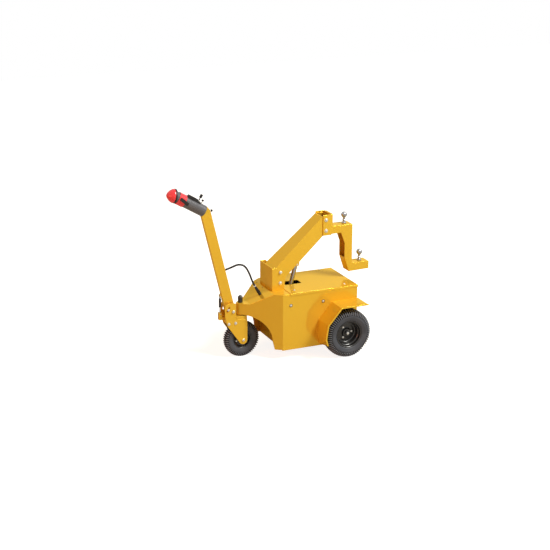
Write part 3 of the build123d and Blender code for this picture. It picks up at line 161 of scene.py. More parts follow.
def makeFinish(name, own):
    settings = {**usualFinish, **own}
    material = bpy.data.materials.new(name)
    material.use_nodes = True
    tree = material.node_tree
    shader = tree.nodes["Principled BSDF"]
    drift = tree.nodes.new("ShaderNodeGroup")
    drift.node_tree = surfaceDrift
    drift.inputs["Base"].default_value = (*settings["color"], 1)
    drift.inputs["Other"].default_value = (*settings["other"], 1)
    drift.inputs["Scale"].default_value = settings["scale"]
    drift.inputs["Amount"].default_value = settings["amount"]
    drift.inputs["Rough Low"].default_value = settings["rough"][0]
    drift.inputs["Rough High"].default_value = settings["rough"][1]
    tree.links.new(drift.outputs["Color"], shader.inputs["Base Color"])
    tree.links.new(drift.outputs["Roughness"], shader.inputs["Roughness"])
    bump = tree.nodes.new("ShaderNodeGroup")
    bump.node_tree = fineBump
    bump.inputs["Scale"].default_value = settings["bumpScale"]
    bump.inputs["Strength"].default_value = settings["bump"]
    bump.inputs["Depth"].default_value = settings["depth"]
    bump.inputs["Stretch"].default_value = settings["stretch"]
    tree.links.new(bump.outputs["Normal"], shader.inputs["Normal"])
    shader.inputs["Metallic"].default_value = settings["metal"]
    shader.inputs["Coat Weight"].default_value = settings["coat"]
    shader.inputs["Coat Roughness"].default_value = settings["coatRough"]
    shader.inputs["Specular IOR Level"].default_value = settings["specular"]
    shader.inputs["Specular Tint"].default_value = (*settings["edge"], 1)
    return material


finishes = {
    "yellowPaint": {"color": (0.80, 0.5, 0.048), "other": (0.78, 0.48, 0.042), "rough": (0.1, 0.16), "scale": 3,
                    "amount": 0.5, "bump": 0.03, "bumpScale": 420, "depth": 0.0002, "metal": 0.42, "coat": 0.03,
                    "coatRough": 0.03, "specular": 0.03, "edge": (1, 0.85, 0.45)},
    "blackPaint": {"color": (0.012, 0.012, 0.013), "other": (0.022, 0.021, 0.02), "rough": (0.3, 0.45),
                   "bump": 0.08, "coat": 0.2},
    "zincSteel": {"color": (0.76, 0.75, 0.71), "other": (0.6, 0.59, 0.55), "rough": (0.28, 0.42), "metal": 1,
                  "scale": 60, "bump": 0.1, "bumpScale": 700},
    "chromeSteel": {"color": (0.42, 0.42, 0.43), "other": (0.33, 0.33, 0.34), "rough": (0.1, 0.2), "metal": 1,
                    "scale": 30, "bump": 0.03, "bumpScale": 500},
    "tyreRubber": {"color": (0.042, 0.046, 0.058), "other": (0.07, 0.076, 0.092), "rough": (0.4, 0.6), "scale": 14,
                   "amount": 0.7, "bump": 0.25, "bumpScale": 500, "specular": 0.4},
    # the tyre rubber painted lighter: a painted highlight on the shoulder lugs
    "treadLug": {"color": (0.12, 0.128, 0.155), "other": (0.15, 0.16, 0.19), "rough": (0.4, 0.55), "scale": 20,
                 "bump": 0.1, "bumpScale": 500},
    # the tyre rubber painted near black: painted shade in the tread between the lugs
    "treadGroove": {"color": (0.008, 0.008, 0.009), "other": (0.014, 0.014, 0.014), "rough": (0.75, 0.9),
                    "bump": 0.2, "bumpScale": 500, "specular": 0.1},
    "blackPlastic": {"color": (0.018, 0.018, 0.019), "other": (0.03, 0.03, 0.031), "rough": (0.35, 0.5),
                     "bump": 0.2, "bumpScale": 900, "scale": 20, "specular": 0.25},
    "headPlastic": {"color": (0.1, 0.1, 0.11), "other": (0.12, 0.12, 0.13), "rough": (0.22, 0.3), "scale": 20,
                    "bump": 0.05, "bumpScale": 900, "metal": 0.2, "specular": 0.7},
    "redPlastic": {"color": (0.86, 0.035, 0.045), "other": (0.8, 0.03, 0.04), "rough": (0.2, 0.3), "scale": 12,
                   "bump": 0.05, "coat": 0.3},
    "cableSheath": {"color": (0.015, 0.015, 0.016), "other": (0.03, 0.03, 0.03), "rough": (0.4, 0.55),
                    "bump": 0.15, "bumpScale": 800, "specular": 0.3},
    "rimBlack": {"color": (0.009, 0.009, 0.01), "other": (0.015, 0.015, 0.015), "rough": (0.22, 0.34),
                 "bump": 0.06, "bumpScale": 400, "coat": 0.35, "coatRough": 0.1},
    "batteryCase": {"color": (0.02, 0.02, 0.022), "other": (0.035, 0.035, 0.035), "rough": (0.4, 0.6)},
}
paint = {name: makeFinish(name, settings) for name, settings in finishes.items()}
print("finishes ready", len(paint))

nodeFinish = {
    "yellowPaint": ("body_shell", "battery_lid", "boom_bracket", "fender_left", "fender_right", "fork_frame",
                    "tiller_bar", "boom_tube", "clamp_channel", "hitch_bracket"),
    "blackPaint": ("steering_cap", "drive_axle", "lift_mount", "rear_rim_left", "rear_rim_right", "front_rim",
                   "kingpin", "lift_barrel", "strut_barrel"),
    "zincSteel": ("boom_pin", "front_axle", "tiller_pin", "slot_pin", "strut_foot_pin", "strut_head_pin",
                  "lift_eye_pin", "key_switch"),
    "chromeSteel": ("lift_rod", "strut_rod", "tow_ball_upper", "tow_ball_lower"),
    "tyreRubber": ("rear_tyre_left", "rear_tyre_right", "front_tyre"),
    "headPlastic": ("tiller_housing",),
    "blackPlastic": ("head_ring", "switch_box", "cable_gland", "ignition_key",
                     "throttle_left", "throttle_right"),
    "redPlastic": ("red_button", "red_collar"),
    "cableSheath": ("control_cable",),
    "batteryCase": ("battery_block",),
}
finishOf = {node: finish for finish, names in nodeFinish.items() for node in names}
bodyOf = {node: body for body, names in frame["record"]["behaviour"]["bodies"].items() for node in names}
for node, finish in finishOf.items():
    data = nodes[node].data
    data.materials.clear()
    data.materials.append(paint[finish])


# Mesh helpers; sizes in the tables are millimetres, angles are degrees
weld = {"spun": 0.005, "sliver": 0.001, "node": 0.02, "flatAngle": 0.6}


def at(x, y, z):
    return Vector((rearAxleX + x * mm, y * mm, z * mm))  # X runs forward from the rear axle


def aimed(place, direction, turn=0):
    spin = Matrix.Rotation(math.radians(turn), 4, "Z")
    return Matrix.Translation(place) @ Vector(direction).to_track_quat("Z", "Y").to_matrix().to_4x4() @ spin


def joinInto(target, part):
    data = bpy.data.meshes.new("joining")
    part.to_mesh(data)
    part.free()
    target.from_mesh(data)
    bpy.data.meshes.remove(data)


def turned(profile, segments=32):
    mesh = bmesh.new()
    corners = [mesh.verts.new((radius * mm, 0, lift * mm)) for radius, lift in profile]
    edges = [mesh.edges.new(pair) for pair in zip(corners, corners[1:])]
    bmesh.ops.spin(mesh, geom=corners + edges, cent=(0, 0, 0), axis=(0, 0, 1), dvec=(0, 0, 0),
                   angle=2 * math.pi, steps=segments, use_merge=True, use_duplicate=False)
    bmesh.ops.remove_doubles(mesh, verts=mesh.verts, dist=weld["spun"] * mm)
    bmesh.ops.dissolve_degenerate(mesh, dist=weld["sliver"] * mm, edges=mesh.edges)
    bmesh.ops.recalc_face_normals(mesh, faces=mesh.faces)
    return mesh


def breakEdges(mesh, edges, width):
    bmesh.ops.bevel(mesh, geom=edges, offset=width * mm, offset_type="OFFSET", segments=2, profile=0.5,
                    affect="EDGES", clamp_overlap=False, material=-1)


def hexPrism(radius, height, edge, lift=0):
    mesh = bmesh.new()
    bmesh.ops.create_cone(mesh, cap_ends=True, segments=6, radius1=radius * mm, radius2=radius * mm,
                          depth=height * mm)
    bmesh.ops.translate(mesh, verts=mesh.verts, vec=(0, 0, lift * mm))
    breakEdges(mesh, mesh.edges[:], edge)
    return mesh


def finished(name, mesh, finish, body, smoothAngle=32):
    data = bpy.data.meshes.new(name)
    mesh.to_mesh(data)
    mesh.free()
    for label in finish.split():
        data.materials.append(paint[label])
    data.polygons.foreach_set("use_smooth", [True] * len(data.polygons))
    data.set_sharp_from_angle(angle=math.radians(smoothAngle))
    piece = bpy.data.objects.new(name, data)
    bpy.context.scene.collection.objects.link(piece)
    if body:
        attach(piece, body)
    return piece


def softNode(node, width, limit):
    mesh = bmesh.new()
    mesh.from_mesh(nodes[node].data)
    bmesh.ops.remove_doubles(mesh, verts=mesh.verts, dist=weld["node"] * mm)
    bmesh.ops.dissolve_limit(mesh, angle_limit=math.radians(weld["flatAngle"]), verts=mesh.verts, edges=mesh.edges)
    sharp = [edge for edge in mesh.edges
             if len(edge.link_faces) == 2 and edge.calc_face_angle(0) > math.radians(limit)]
    breakEdges(mesh, sharp, width)
    piece = finished(node + "Finished", mesh, finishOf[node], bodyOf[node])
    weighted = piece.modifiers.new("evenShading", "WEIGHTED_NORMAL")
    weighted.keep_sharp = True
    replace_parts(piece, node)


# Control cable: one route, read as points, dressed as two ribbed tubes that meet past its highest place
cable = {"route": ((0.39393, 0.008, 0.74855), (0.34528, 0.008, 0.76010), (0.285, 0.022, 0.787),
                   (0.233, 0.032, 0.771), (0.199, 0.040, 0.708), (0.175, 0.047, 0.632),
                   (0.14277, 0.053, 0.57132), (0.12175, 0.053, 0.53764)),
         "order": 3, "resolution": 40, "radius": 8.4, "groove": 1.0, "ringStep": 3.0, "around": 14, "smoothAngle": 50,
         "fixedFrom": 95, "split": 0.54}  # fixedFrom: a length, in mm back from the lower end, that picks the clamp ring; split: where the tubes meet


def routePoints(settings):
    curve = bpy.data.curves.new("cableRoute", "CURVE")
    curve.dimensions = "3D"
    curve.resolution_u = settings["resolution"]
    spline = curve.splines.new("NURBS")
    spline.points.add(len(settings["route"]) - 1)
    for point, place in zip(spline.points, settings["route"]):
        point.co = (*place, 1)
    spline.order_u = settings["order"]
    spline.use_endpoint_u = True
    holder = bpy.data.objects.new("cableRoute", curve)
    bpy.context.scene.collection.objects.link(holder)
    bpy.context.view_layer.update()
    read = bpy.data.meshes.new_from_object(holder)
    points = [corner.co.copy() for corner in read.vertices]
    bpy.data.objects.remove(holder)
    return points


def evenPoints(points, step):
    found, carried = [points[0]], 0.0
    for before, after in zip(points, points[1:]):
        run = (after - before).length
        while carried + run >= step:
            before = before.lerp(after, (step - carried) / run)
            run = (after - before).length
            carried = 0.0
            found.append(before)
        carried += run
    short = carried <= step / 4  # a stub this short joins the step before it
    return (found[:-1] if short else found) + [points[-1]]


def ribbedTube(points, settings):
    mesh = bmesh.new()
    rings = []
    for index, place in enumerate(points):
        ahead = points[min(index + 1, len(points) - 1)] - points[max(index - 1, 0)]
        radius = (settings["radius"] - (settings["groove"] if index % 2 else 0)) * mm
        ring = bmesh.ops.create_circle(mesh, cap_ends=index in (0, len(points) - 1), segments=settings["around"],
                                       radius=radius, matrix=aimed(place, ahead))
        corners = set(ring["verts"])
        rings.append([edge for edge in mesh.edges if edge.verts[0] in corners and edge.verts[1] in corners])
    for first, second in zip(rings, rings[1:]):
        bmesh.ops.bridge_loops(mesh, edges=first + second)
    bmesh.ops.recalc_face_normals(mesh, faces=mesh.faces)
    return mesh


cableLine = evenPoints(routePoints(cable), cable["ringStep"] * mm)
meet = int(len(cableLine) * cable["split"])
clampAt = len(cableLine) - 1 - int(cable["fixedFrom"] / cable["ringStep"])
halves = (("cableUpper", cableLine[:meet + 1], "tiller", "fork", cableLine[0], cableLine[meet]),
          ("cableLower", cableLine[meet:], "fork", "chassis", cableLine[meet], cableLine[clampAt]))
for name, line, first, second, start, end in halves:
    tube = finished(name, ribbedTube(line, cable), "cableSheath", None, cable["smoothAngle"])
    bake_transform(tube)
    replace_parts(tube, "control_cable")
print("cable ready", len(cableLine), "rings")

# Strain relief over the cable's lower end: stepped black sleeves and a bright clip, by their distance from the deck
relief = {"base": 20, "taper": 1, "around": 20,
          "steps": ((20, 13, 14.5), (33, 3, 10.5), (36, 11, 13), (47, 3, 10), (50, 10, 12), (60, 3, 9.6),
                    (63, 10, 11))}  # from, length, radius
clip = {"from": 86, "length": 9, "bore": 8, "radius": 11.5, "around": 24, "aimRings": 3,
        "ear": (5, 9, 0.8), "earShift": (12, 4, 2), "earDirection": (1, 0.3, 0.15)}  # ear: radius, height, edge


def ringFrom(distance):
    return len(cableLine) - 1 - int((distance - relief["base"]) / cable["ringStep"])


def sleeveMesh(settings, line):
    sleeves = bmesh.new()
    taper = settings["taper"]
    for start, length, radius in settings["steps"]:
        place = line[ringFrom(start)]
        ahead = line[ringFrom(start + length) - 1] - place
        sleeve = turned(((0, 0), (radius - taper, 0), (radius, taper), (radius, length - taper),
                         (radius - taper, length), (0, length)), settings["around"])
        sleeve.transform(aimed(place, ahead))
        joinInto(sleeves, sleeve)
    return sleeves


def clipMesh(settings, line):
    ring = ringFrom(settings["from"])
    place, ahead = line[ring], line[ring - settings["aimRings"]] - line[ring]
    bore, radius, length = settings["bore"], settings["radius"], settings["length"]
    band = turned(((bore, 0), (radius, 0), (radius, length), (bore, length), (bore, 0)), settings["around"])
    band.transform(aimed(place, ahead))
    ear = hexPrism(*settings["ear"])
    ear.transform(aimed(place + Vector(settings["earShift"]) * mm, settings["earDirection"]))
    joinInto(band, ear)
    return band


finished("cableRelief", sleeveMesh(relief, cableLine), "blackPlastic", "chassis")
finished("cableClip", clipMesh(clip, cableLine), "zincSteel", "chassis")
print("strain relief ready")

# Plate work and turned parts from the frame, with their edges broken
softEdges = (  # node, width, the least angle that counts as an edge
    ("body_shell", 1.6, 28), ("battery_lid", 1.3, 28), ("boom_bracket", 1.6, 28), ("boom_tube", 1.6, 28),
    ("clamp_channel", 1.6, 28), ("hitch_bracket", 1.6, 28), ("fork_frame", 1.4, 28), ("tiller_bar", 1.3, 28),
    ("fender_left", 1.2, 28), ("fender_right", 1.2, 28), ("tiller_housing", 1.0, 40), ("head_ring", 1.6, 40),
    ("switch_box", 1.6, 40), ("red_collar", 0.8, 40), ("boom_pin", 1.2, 40), ("tiller_pin", 1.0, 40),
    ("front_axle", 1.2, 40), ("slot_pin", 1.0, 40), ("lift_barrel", 1.0, 40), ("strut_barrel", 0.8, 40),
    ("drive_axle", 1.2, 40), ("lift_mount", 1.2, 40), ("key_switch", 0.8, 40), ("throttle_left", 0.9, 40),
    ("throttle_right", 0.9, 40), ("battery_block", 3.0, 40), ("cable_gland", 0.8, 40))
for node, width, limit in softEdges:
    softNode(node, width, limit)
print("plate work softened")

# A strip on each side of the fork's crown closes the slot above the step of the plates
crownStrip = {"size": (94, 7, 27), "place": (793.5, 45, 342.5), "edge": 1.2}
strips = bmesh.new()
for side in (1, -1):
    x, y, z = crownStrip["place"]
    strip = bmesh.new()
    bmesh.ops.create_cube(strip, size=1)
    bmesh.ops.scale(strip, verts=strip.verts, vec=Vector(crownStrip["size"]) * mm)
    breakEdges(strip, strip.edges[:], crownStrip["edge"])
    bmesh.ops.translate(strip, verts=strip.verts, vec=at(x, side * y, z))
    joinInto(strips, strip)
finished("crownStrips", strips, "yellowPaint", "fork")


# Tyres: a turned carcass with moulded lugs round both shoulders and a crown row; the tread between the lugs is
# painted darker as shade and the shoulder lugs lighter as a highlight
def lugRing(path, depth, halfWidth, count, offset, lean=0):
    mesh = bmesh.new()
    inner = [(radius - depth[0], side - depth[1]) for radius, side in path]
    corners = [mesh.verts.new((radius * mm, -halfWidth * mm, side * mm)) for radius, side in path + inner[::-1]]
    face = mesh.faces.new(corners)
    grown = bmesh.ops.extrude_face_region(mesh, geom=[face])
    moved = [item for item in grown["geom"] if isinstance(item, bmesh.types.BMVert)]
    bmesh.ops.translate(mesh, verts=moved, vec=(0, 2 * halfWidth * mm, 0))
    bmesh.ops.holes_fill(mesh, edges=mesh.edges)
    bmesh.ops.recalc_face_normals(mesh, faces=mesh.faces)
    mesh.transform(Matrix.Rotation(math.radians(360 / count * offset), 4, "Z"))
    if lean:
        middle = sum((corner.co for corner in mesh.verts), Vector()) / len(mesh.verts)
        swing = Matrix.Translation(middle) @ Matrix.Rotation(math.radians(lean), 4, middle.xy.to_3d())
        mesh.transform(swing @ Matrix.Translation(-middle))
    bmesh.ops.spin(mesh, geom=mesh.verts[:] + mesh.edges[:] + mesh.faces[:], cent=(0, 0, 0), axis=(0, 0, 1),
                   dvec=(0, 0, 0), angle=2 * math.pi * (count - 1) / count, steps=count - 1, use_duplicate=True)
    return mesh


def tyreMesh(settings):
    half = settings["half"]
    loop = half + [(radius, -side) for radius, side in half[::-1]]
    mesh = turned(loop + loop[:1], settings["segments"])
    for face in mesh.faces:  # painted shade: the carcass past the tread radius gets the near-black groove rubber, tyreRubber on the walls
        face.material_index = int(face.calc_center_median().xy.length > settings["grooveShadeFrom"] * mm)
    count = settings["lugs"]
    for direction, offset in ((1, 0), (-1, 0.5)):
        path = [(radius, direction * side) for radius, side in settings["lugPath"]]
        depth = (settings["lugDepth"], direction * settings["lugDepth"])
        lugs = lugRing(path, depth, settings["lugWidth"] / 2, count, offset)
        for face in lugs.faces:
            face.material_index = 2  # painted highlight: the shoulder lugs get the lighter lug rubber
        joinInto(mesh, lugs)
    for side, offset, lean in settings["crown"]:
        reach = settings["crownReach"]
        path = [(settings["crownRadius"], side - reach), (settings["crownRadius"], side + reach)]
        joinInto(mesh, lugRing(path, (settings["crownDepth"], 0), settings["lugWidth"] / 2, count, offset, lean))
    return mesh


rearTyre = {"segments": 112, "lugs": 64, "lugWidth": 6.4, "lugDepth": 7.5, "crownRadius": 199.2, "crownReach": 11,
            "crownDepth": 8.5, "grooveShadeFrom": 158,
            "crown": ((-13, 0.25, 18), (13, 0.75, -18)),
            "half": [(101, 53.7), (113, 53.7), (116, 57), (119, 59), (128, 62), (140, 65.5), (141, 66.5),
                     (150, 67.5), (152, 67.6), (154, 66.8), (157, 66), (163, 63), (170, 58.5), (176, 54), (181, 49),
                     (186, 41), (189, 32), (191, 20), (191.5, 0)],
            "lugPath": [(198.2, 24), (196, 38), (191, 50), (184, 59), (174, 64.8), (162, 67.2)]}
frontTyre = {"segments": 88, "lugs": 50, "lugWidth": 6.2, "lugDepth": 6, "crownRadius": 149.4, "crownReach": 7,
             "crownDepth": 7, "grooveShadeFrom": 120,
             "crown": ((-8, 0.25, 14), (8, 0.75, -14)),
             "half": [(67, 26.7), (76, 26.7), (79, 29), (84, 31), (96, 34.5), (97, 35.4), (108, 36.6), (112, 36.8),
                      (118, 36.2), (119, 35.6), (124, 33.5), (129, 31), (134, 27), (138, 21.5), (140.5, 15),
                      (142, 8), (142.3, 0)],
             "lugPath": [(148.8, 14), (146, 24), (140.5, 30.5), (132, 34.6), (123, 36.4)]}
tyreSmoothAngle = 24
wheels = (  # body, tyre node, rim node, axle place, which way the outside faces, kind
    ("rear_wheel_left", "rear_tyre_left", "rear_rim_left", (0, 340, 200), 1, "rear"),
    ("rear_wheel_right", "rear_tyre_right", "rear_rim_right", (0, -340, 200), -1, "rear"),
    ("front_wheel", "front_tyre", "front_rim", (781, 0, 150), 1, "front"))
for body, tyreNode, rimNode, place, side, kind in wheels:
    mesh = tyreMesh(rearTyre if kind == "rear" else frontTyre)
    mesh.transform(aimed(at(*place), (0, side, 0)))
    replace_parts(finished(tyreNode + "Tread", mesh, "tyreRubber treadGroove treadLug", body, tyreSmoothAngle),
                tyreNode)
print("tyres ready")

# Bolts: a washer, a six-sided head with broken edges and a low dome
# washerOver, height, edge, dome and domeCurve are shares of the head's radius
boltShape = {"washerOver": 1.35, "washerHeight": 2.0, "washerEdge": 0.5, "height": 0.55, "edge": 0.09, "around": 24,
             "dome": 0.78, "domeSink": 0.2, "domeCurve": ((0.92, 0.1), (0.6, 0.2), (0, 0.26)),
             "firstTurn": 17, "nextTurn": 23}


def boltHead(radius, washer=True):
    mesh = bmesh.new()
    around = boltShape["around"]
    base = 0
    if washer:
        wide, base, edge = radius * boltShape["washerOver"], boltShape["washerHeight"], boltShape["washerEdge"]
        joinInto(mesh, turned(((0, 0), (wide, 0), (wide, base - edge), (wide - edge, base), (0, base)), around))
    tall = radius * boltShape["height"]
    joinInto(mesh, hexPrism(radius, tall, boltShape["edge"] * radius, base + tall / 2))
    wide, top = radius * boltShape["dome"], base + tall
    dome = [(wide * out, top + radius * rise) for out, rise in boltShape["domeCurve"]]
    joinInto(mesh, turned([(wide, top - boltShape["domeSink"])] + dome, around))
    return mesh


def boltSet(name, body, rows):
    mesh = bmesh.new()
    for index, (place, direction, radius, washer) in enumerate(rows):
        head = boltHead(radius, washer)
        head.transform(aimed(at(*place), direction, boltShape["firstTurn"] + boltShape["nextTurn"] * index))
        joinInto(mesh, head)
    return finished(name, mesh, "zincSteel", body)


def mirrored(spots, *rest):
    return [((x, side * y, z), (0, side, 0), *rest) for side in (1, -1) for x, y, z in spots]


up, back = (0, 0, 1), (-1, 0, 0)
deckSlope = math.radians(31.97)
deckNormal = (math.sin(deckSlope), 0, math.cos(deckSlope))
sideScrews = ((450, 249, 461), (165, 249, 459))
lidScrews = ((389, 177, 560), (-52, 190, 560), (389, -177, 560), (-30, -238, 560))
boltRows = {  # place, direction, radius, whether it has a washer
    "chassisBolts": ("chassis", mirrored([(488, 124, 617)], 11, True) + mirrored([(488, 131.8, 708)], 11, False)
                     + mirrored(sideScrews, 7.5, True) + [(spot, up, 7, True) for spot in lidScrews]),
    "boomBolts": ("boom", mirrored([(62, 75, 1080), (62, 75, 991)], 11.5, True)
                  + [((-3, 34, 1072), back, 9, True), ((-3, -34, 1072), back, 9, True)]),
    "forkBolts": ("fork", mirrored([(904, 50, 301), (846, 50, 302)], 9, True)
                  + mirrored([(781, 57.8, 150)], 9.5, False) + mirrored([(866, 57.8, 404)], 9.5, False))}
for name, (body, rows) in boltRows.items():
    boltSet(name, body, rows)


seatShape = {"bore": 0.7, "height": 0.9, "around": 28}


def seatRings(rows):
    mesh = bmesh.new()
    for place, direction, radius in rows:
        bore, height = radius * seatShape["bore"], seatShape["height"]
        ring = turned(((bore, 0), (radius, 0), (radius, height), (bore, height), (bore, 0)), seatShape["around"])
        ring.transform(aimed(at(*place), direction))
        joinInto(mesh, ring)
    return mesh


finished("screwSeats", seatRings(mirrored(sideScrews, 13.5)), "blackPlastic", "chassis")
finished("deckScrews", seatRings((((580, -146, 554.2), deckNormal, 5), ((584, -17, 551.8), deckNormal, 5))),
         "blackPlastic", "chassis")
print("bolts ready")

# Rims: spun dishes with three or four bright bolts; at the rear also a hub nut and a bolt on the shaft's end
rearRim = {"segments": 96, "boltCircle": 50, "boltAngles": (60, 180, 300), "boltRadius": 6.5, "boltAt": -6,
           "hubNutAt": 12.4, "hubNut": 16.5, "shaftNut": 12,
           "profile": [(112, 54.5), (112, 57.4), (110.5, 58), (108, 57.6), (104, 54), (101.5, 50), (99.5, 46),
                       (98.5, 40), (97, 30), (92, 26), (90.5, 22), (88, 8), (86.5, 2), (84, -6), (80, -9),
                       (76, -9.6), (68, -7.5), (60, -6.2), (44, -6), (40, -5), (35, 0), (33.5, 8), (31, 11.5),
                       (28, 12), (12.7, 12), (12.7, -57.9), (33, -57.9), (34, -56), (34, -14), (80, -17),
                       (92, -30), (97, -46), (101, -54), (108, -57.6), (110.5, -58), (112, -57.4), (112, -54.5),
                       (101, -53.7), (100.7, -52), (100.7, 52), (101, 53.7), (112, 54.5)]}
rimSmoothAngle = 40
frontRim = {"segments": 80, "boltCircle": 46, "boltAngles": (-20, 70, 160, 250), "boltRadius": 6, "boltAt": 9,
            "profile": [(75, 27.5), (75, 29.5), (74, 30), (72.5, 29.6), (70, 27.5), (66.5, 24), (64, 18), (61, 12),
                        (57, 9.4), (50, 8.6), (40, 9), (32, 11), (26, 14), (23, 18), (22, 24), (22, 38.4),
                        (21.4, 39), (8.2, 39), (8.2, -39), (21.4, -39), (22, -38.4), (22, -24), (23, -18),
                        (26, -14), (32, -11), (40, -9), (50, -8.6), (57, -9.4), (61, -12), (64, -18), (66.5, -24),
                        (70, -27.5), (72.5, -29.6), (74, -30), (75, -29.5), (75, -27.5), (67, -26.7),
                        (66.7, -26), (66.7, 26), (67, 26.7), (75, 27.5)]}
shaftEnd = max(corner.co.y for corner in nodes["drive_axle"].data.vertices) / mm
for body, tyreNode, rimNode, place, side, kind in wheels:
    settings = rearRim if kind == "rear" else frontRim
    mesh = turned(settings["profile"], settings["segments"])
    mesh.transform(aimed(at(*place), (0, side, 0)))
    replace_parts(finished(rimNode + "Spun", mesh, "rimBlack", body, rimSmoothAngle), rimNode)
    x, y, z = place
    rows = []
    for face in ((side,) if kind == "rear" else (1, -1)):
        for angle in settings["boltAngles"]:
            turn = math.radians(angle)
            spot = (x + settings["boltCircle"] * math.cos(turn), y + face * settings["boltAt"],
                    z + settings["boltCircle"] * math.sin(turn))
            rows.append((spot, (0, face, 0), settings["boltRadius"], True))
    if kind == "rear":
        rows.append(((x, y + side * settings["hubNutAt"], z), (0, side, 0), settings["hubNut"], False))
        rows.append(((x, side * shaftEnd, z), (0, side, 0), settings["shaftNut"], False))
    boltSet(rimNode + "Bolts", body, rows)
print("rims ready")

# Tow balls: flange, collars, waist, a ball with a flat top and a nut (radius, height, edge, lift) below the plate
towBall = {"radius": 25, "rise": 74, "flat": 23, "segments": (56, 32), "around": 48, "nut": (20, 12, 1.2, -14),
           "stem": [(0, -19.9), (10, -19.9), (10, 0), (19, 0), (20, 1), (20, 7), (19, 8), (15, 8.5), (14.4, 10),
                    (14.4, 14), (13.4, 15), (12, 16.5), (11.6, 24), (13.2, 26.5), (14.2, 28), (14.2, 31),
                    (13.2, 32.5), (11.2, 35), (10.6, 40), (10.9, 46), (12.2, 51.5), (12.6, 53), (0, 53)]}
for node, x, seatZ in (("tow_ball_upper", -134.5, 1015), ("tow_ball_lower", -279.8, 681)):
    mesh = turned(towBall["stem"], towBall["around"])
    ball = bmesh.new()
    across, over = towBall["segments"]
    bmesh.ops.create_uvsphere(ball, u_segments=across, v_segments=over, radius=towBall["radius"] * mm)
    cut = bmesh.ops.bisect_plane(ball, geom=ball.verts[:] + ball.edges[:] + ball.faces[:], clear_outer=True,
                                 plane_co=(0, 0, towBall["flat"] * mm), plane_no=(0, 0, 1))
    bmesh.ops.holes_fill(ball, edges=[item for item in cut["geom_cut"] if isinstance(item, bmesh.types.BMEdge)])
    bmesh.ops.translate(ball, verts=ball.verts, vec=(0, 0, towBall["rise"] * mm))
    joinInto(mesh, ball)
    joinInto(mesh, hexPrism(*towBall["nut"]))
    mesh.transform(Matrix.Translation(at(x, 0, seatZ)))
    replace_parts(finished(node + "Turned", mesh, "chromeSteel", "boom"), node)
print("tow balls ready")


# Small controls on the tiller: the red button, a knob by the key, the key's nut, and a knob behind the bar's top
def slanted(degrees, forward=1):
    return Vector((forward * math.cos(math.radians(degrees)), 0, math.sin(math.radians(degrees))))


headAxis = slanted(31)
headUp = Vector((-headAxis.z, 0, headAxis.x))
headRear = Vector((0.562, 0, 1.247))
knobAround = 28


def onHead(distance, lift):
    return headRear + headAxis * distance * mm + headUp * lift * mm


def knobPieces(name, settings, placed):
    for part, finish in (("Stem", "zincSteel"), ("Cap", "blackPlastic")):
        mesh = turned(settings[part], knobAround)
        mesh.transform(placed)
        finished(name + part, mesh, finish, "tiller")


button = {"profile": [(0, 0), (54, 0), (55, 1.5), (55, 9), (53, 15), (42, 33), (38, 37.5), (24, 50), (20, 53),
                      (10, 58), (0, 60)], "around": 40, "seat": (285, 0), "slope": 12, "smoothAngle": 12}
mesh = turned(button["profile"], button["around"])
mesh.transform(aimed(onHead(*button["seat"]), slanted(button["slope"])))
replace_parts(finished("stopButton", mesh, "redPlastic", "tiller", button["smoothAngle"]), "red_button")

headKnob = {"seat": (50, 44.5), "Stem": [(0, 0), (7, 0), (7, 5), (4.2, 6), (4.2, 22), (0, 22)],
            "Cap": [(0, 20), (6, 20), (9, 22), (10, 26), (9.2, 30), (6, 33), (0, 34.5)]}
knobPieces("headKnob", headKnob, aimed(onHead(*headKnob["seat"]), headUp))
keyNut = {"radius": 13, "seat": (80, 51), "turn": 10}
mesh = boltHead(keyNut["radius"], False)
mesh.transform(aimed(onHead(*keyNut["seat"]), headUp, keyNut["turn"]))
finished("keyNut", mesh, "zincSteel", "tiller")
barKnob = {"place": (1035.5, 0, 1242), "slope": 13.35, "Stem": [(0, 0), (6, 0), (6, 10), (0, 10)],
           "Cap": [(0, 8), (8, 8), (10, 11), (10.4, 16), (9, 21), (5, 24), (0, 24.6)]}
knobPieces("barKnob", barKnob, aimed(at(*barKnob["place"]), slanted(barKnob["slope"], -1)))
print("controls ready")


# Studio: a pale floor, a white surround for the eye and for reflections, and soft lamps
studio = {"floor": 14.0, "floorColor": (0.6, 0.59, 0.57), "floorRough": 0.9, "floorGlow": 0.85,
          "worldLight": 0.28, "worldTint": (1, 0.76, 0.45), "aimHeight": 0.5,
          "lamps": (("keyLamp", (-9.2, 10.6, 15.6), 7.0, 4700, (1, 0.99, 0.92)),
                    ("frontLamp", (6.5, 2.5, 1.9), 3.0, 120, (1, 0.22, 0.02)),
                    ("rearLamp", (-8.5, 2.4, 5.6), 1.6, 70, (1, 1, 1)))}


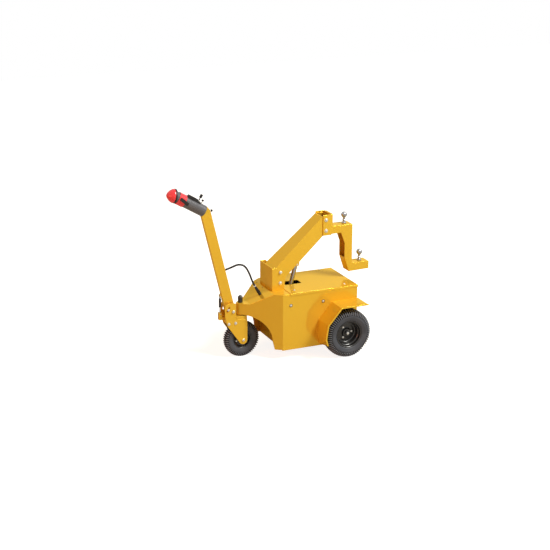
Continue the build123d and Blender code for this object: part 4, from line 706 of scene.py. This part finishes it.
def addFloor(settings):
    mesh = bmesh.new()
    bmesh.ops.create_grid(mesh, x_segments=1, y_segments=1, size=settings["floor"])
    data = bpy.data.meshes.new("studioFloor")
    mesh.to_mesh(data)
    mesh.free()
    floor = bpy.data.objects.new("studioFloor", data)
    bpy.context.scene.collection.objects.link(floor)
    material = bpy.data.materials.new("studioFloorWhite")
    material.use_nodes = True
    tree = material.node_tree
    shader = tree.nodes["Principled BSDF"]
    shader.inputs["Base Color"].default_value = (*settings["floorColor"], 1)
    shader.inputs["Roughness"].default_value = settings["floorRough"]
    shader.inputs["Specular IOR Level"].default_value = 0
    rays = tree.nodes.new("ShaderNodeLightPath")
    glow = tree.nodes.new("ShaderNodeMath")
    glow.operation = "MULTIPLY"
    glow.inputs[1].default_value = settings["floorGlow"]
    tree.links.new(rays.outputs["Is Camera Ray"], glow.inputs[0])
    shader.inputs["Emission Color"].default_value = (1, 1, 1, 1)
    tree.links.new(glow.outputs[0], shader.inputs["Emission Strength"])
    data.materials.append(material)


def addWorld(settings):
    world = bpy.data.worlds.new("studioWorld")
    bpy.context.scene.world = world
    world.use_nodes = True
    make = world.node_tree.nodes.new
    link = world.node_tree.links.new
    sky = world.node_tree.nodes["Background"]
    rays = make("ShaderNodeLightPath")
    seen = make("ShaderNodeMath")
    seen.operation = "MAXIMUM"
    link(rays.outputs["Is Camera Ray"], seen.inputs[0])
    link(rays.outputs["Is Glossy Ray"], seen.inputs[1])
    white = make("ShaderNodeMath")
    white.operation = "MAXIMUM"
    link(seen.outputs[0], white.inputs[0])
    link(rays.outputs["Is Transmission Ray"], white.inputs[1])
    level = make("ShaderNodeMapRange")
    level.inputs["To Min"].default_value = settings["worldLight"]
    link(white.outputs[0], level.inputs["Value"])
    tint = make("ShaderNodeMix")
    tint.data_type = "RGBA"
    tint.inputs["A"].default_value = (*settings["worldTint"], 1)
    tint.inputs["B"].default_value = (1, 1, 1, 1)
    link(white.outputs[0], tint.inputs["Factor"])
    link(tint.outputs["Result"], sky.inputs["Color"])
    link(level.outputs["Result"], sky.inputs["Strength"])


def addLamps(settings):
    for name, place, size, power, tint in settings["lamps"]:
        lamp = bpy.data.lights.new(name, "AREA")
        lamp.size = size
        lamp.color = tint
        lamp.energy = power
        holder = bpy.data.objects.new(name, lamp)
        bpy.context.scene.collection.objects.link(holder)
        holder.matrix_world = aimed(place, Vector(place) - Vector((0, 0, settings["aimHeight"])))


addFloor(studio)
addWorld(studio)
addLamps(studio)
bpy.context.scene.view_settings.view_transform = "Standard"
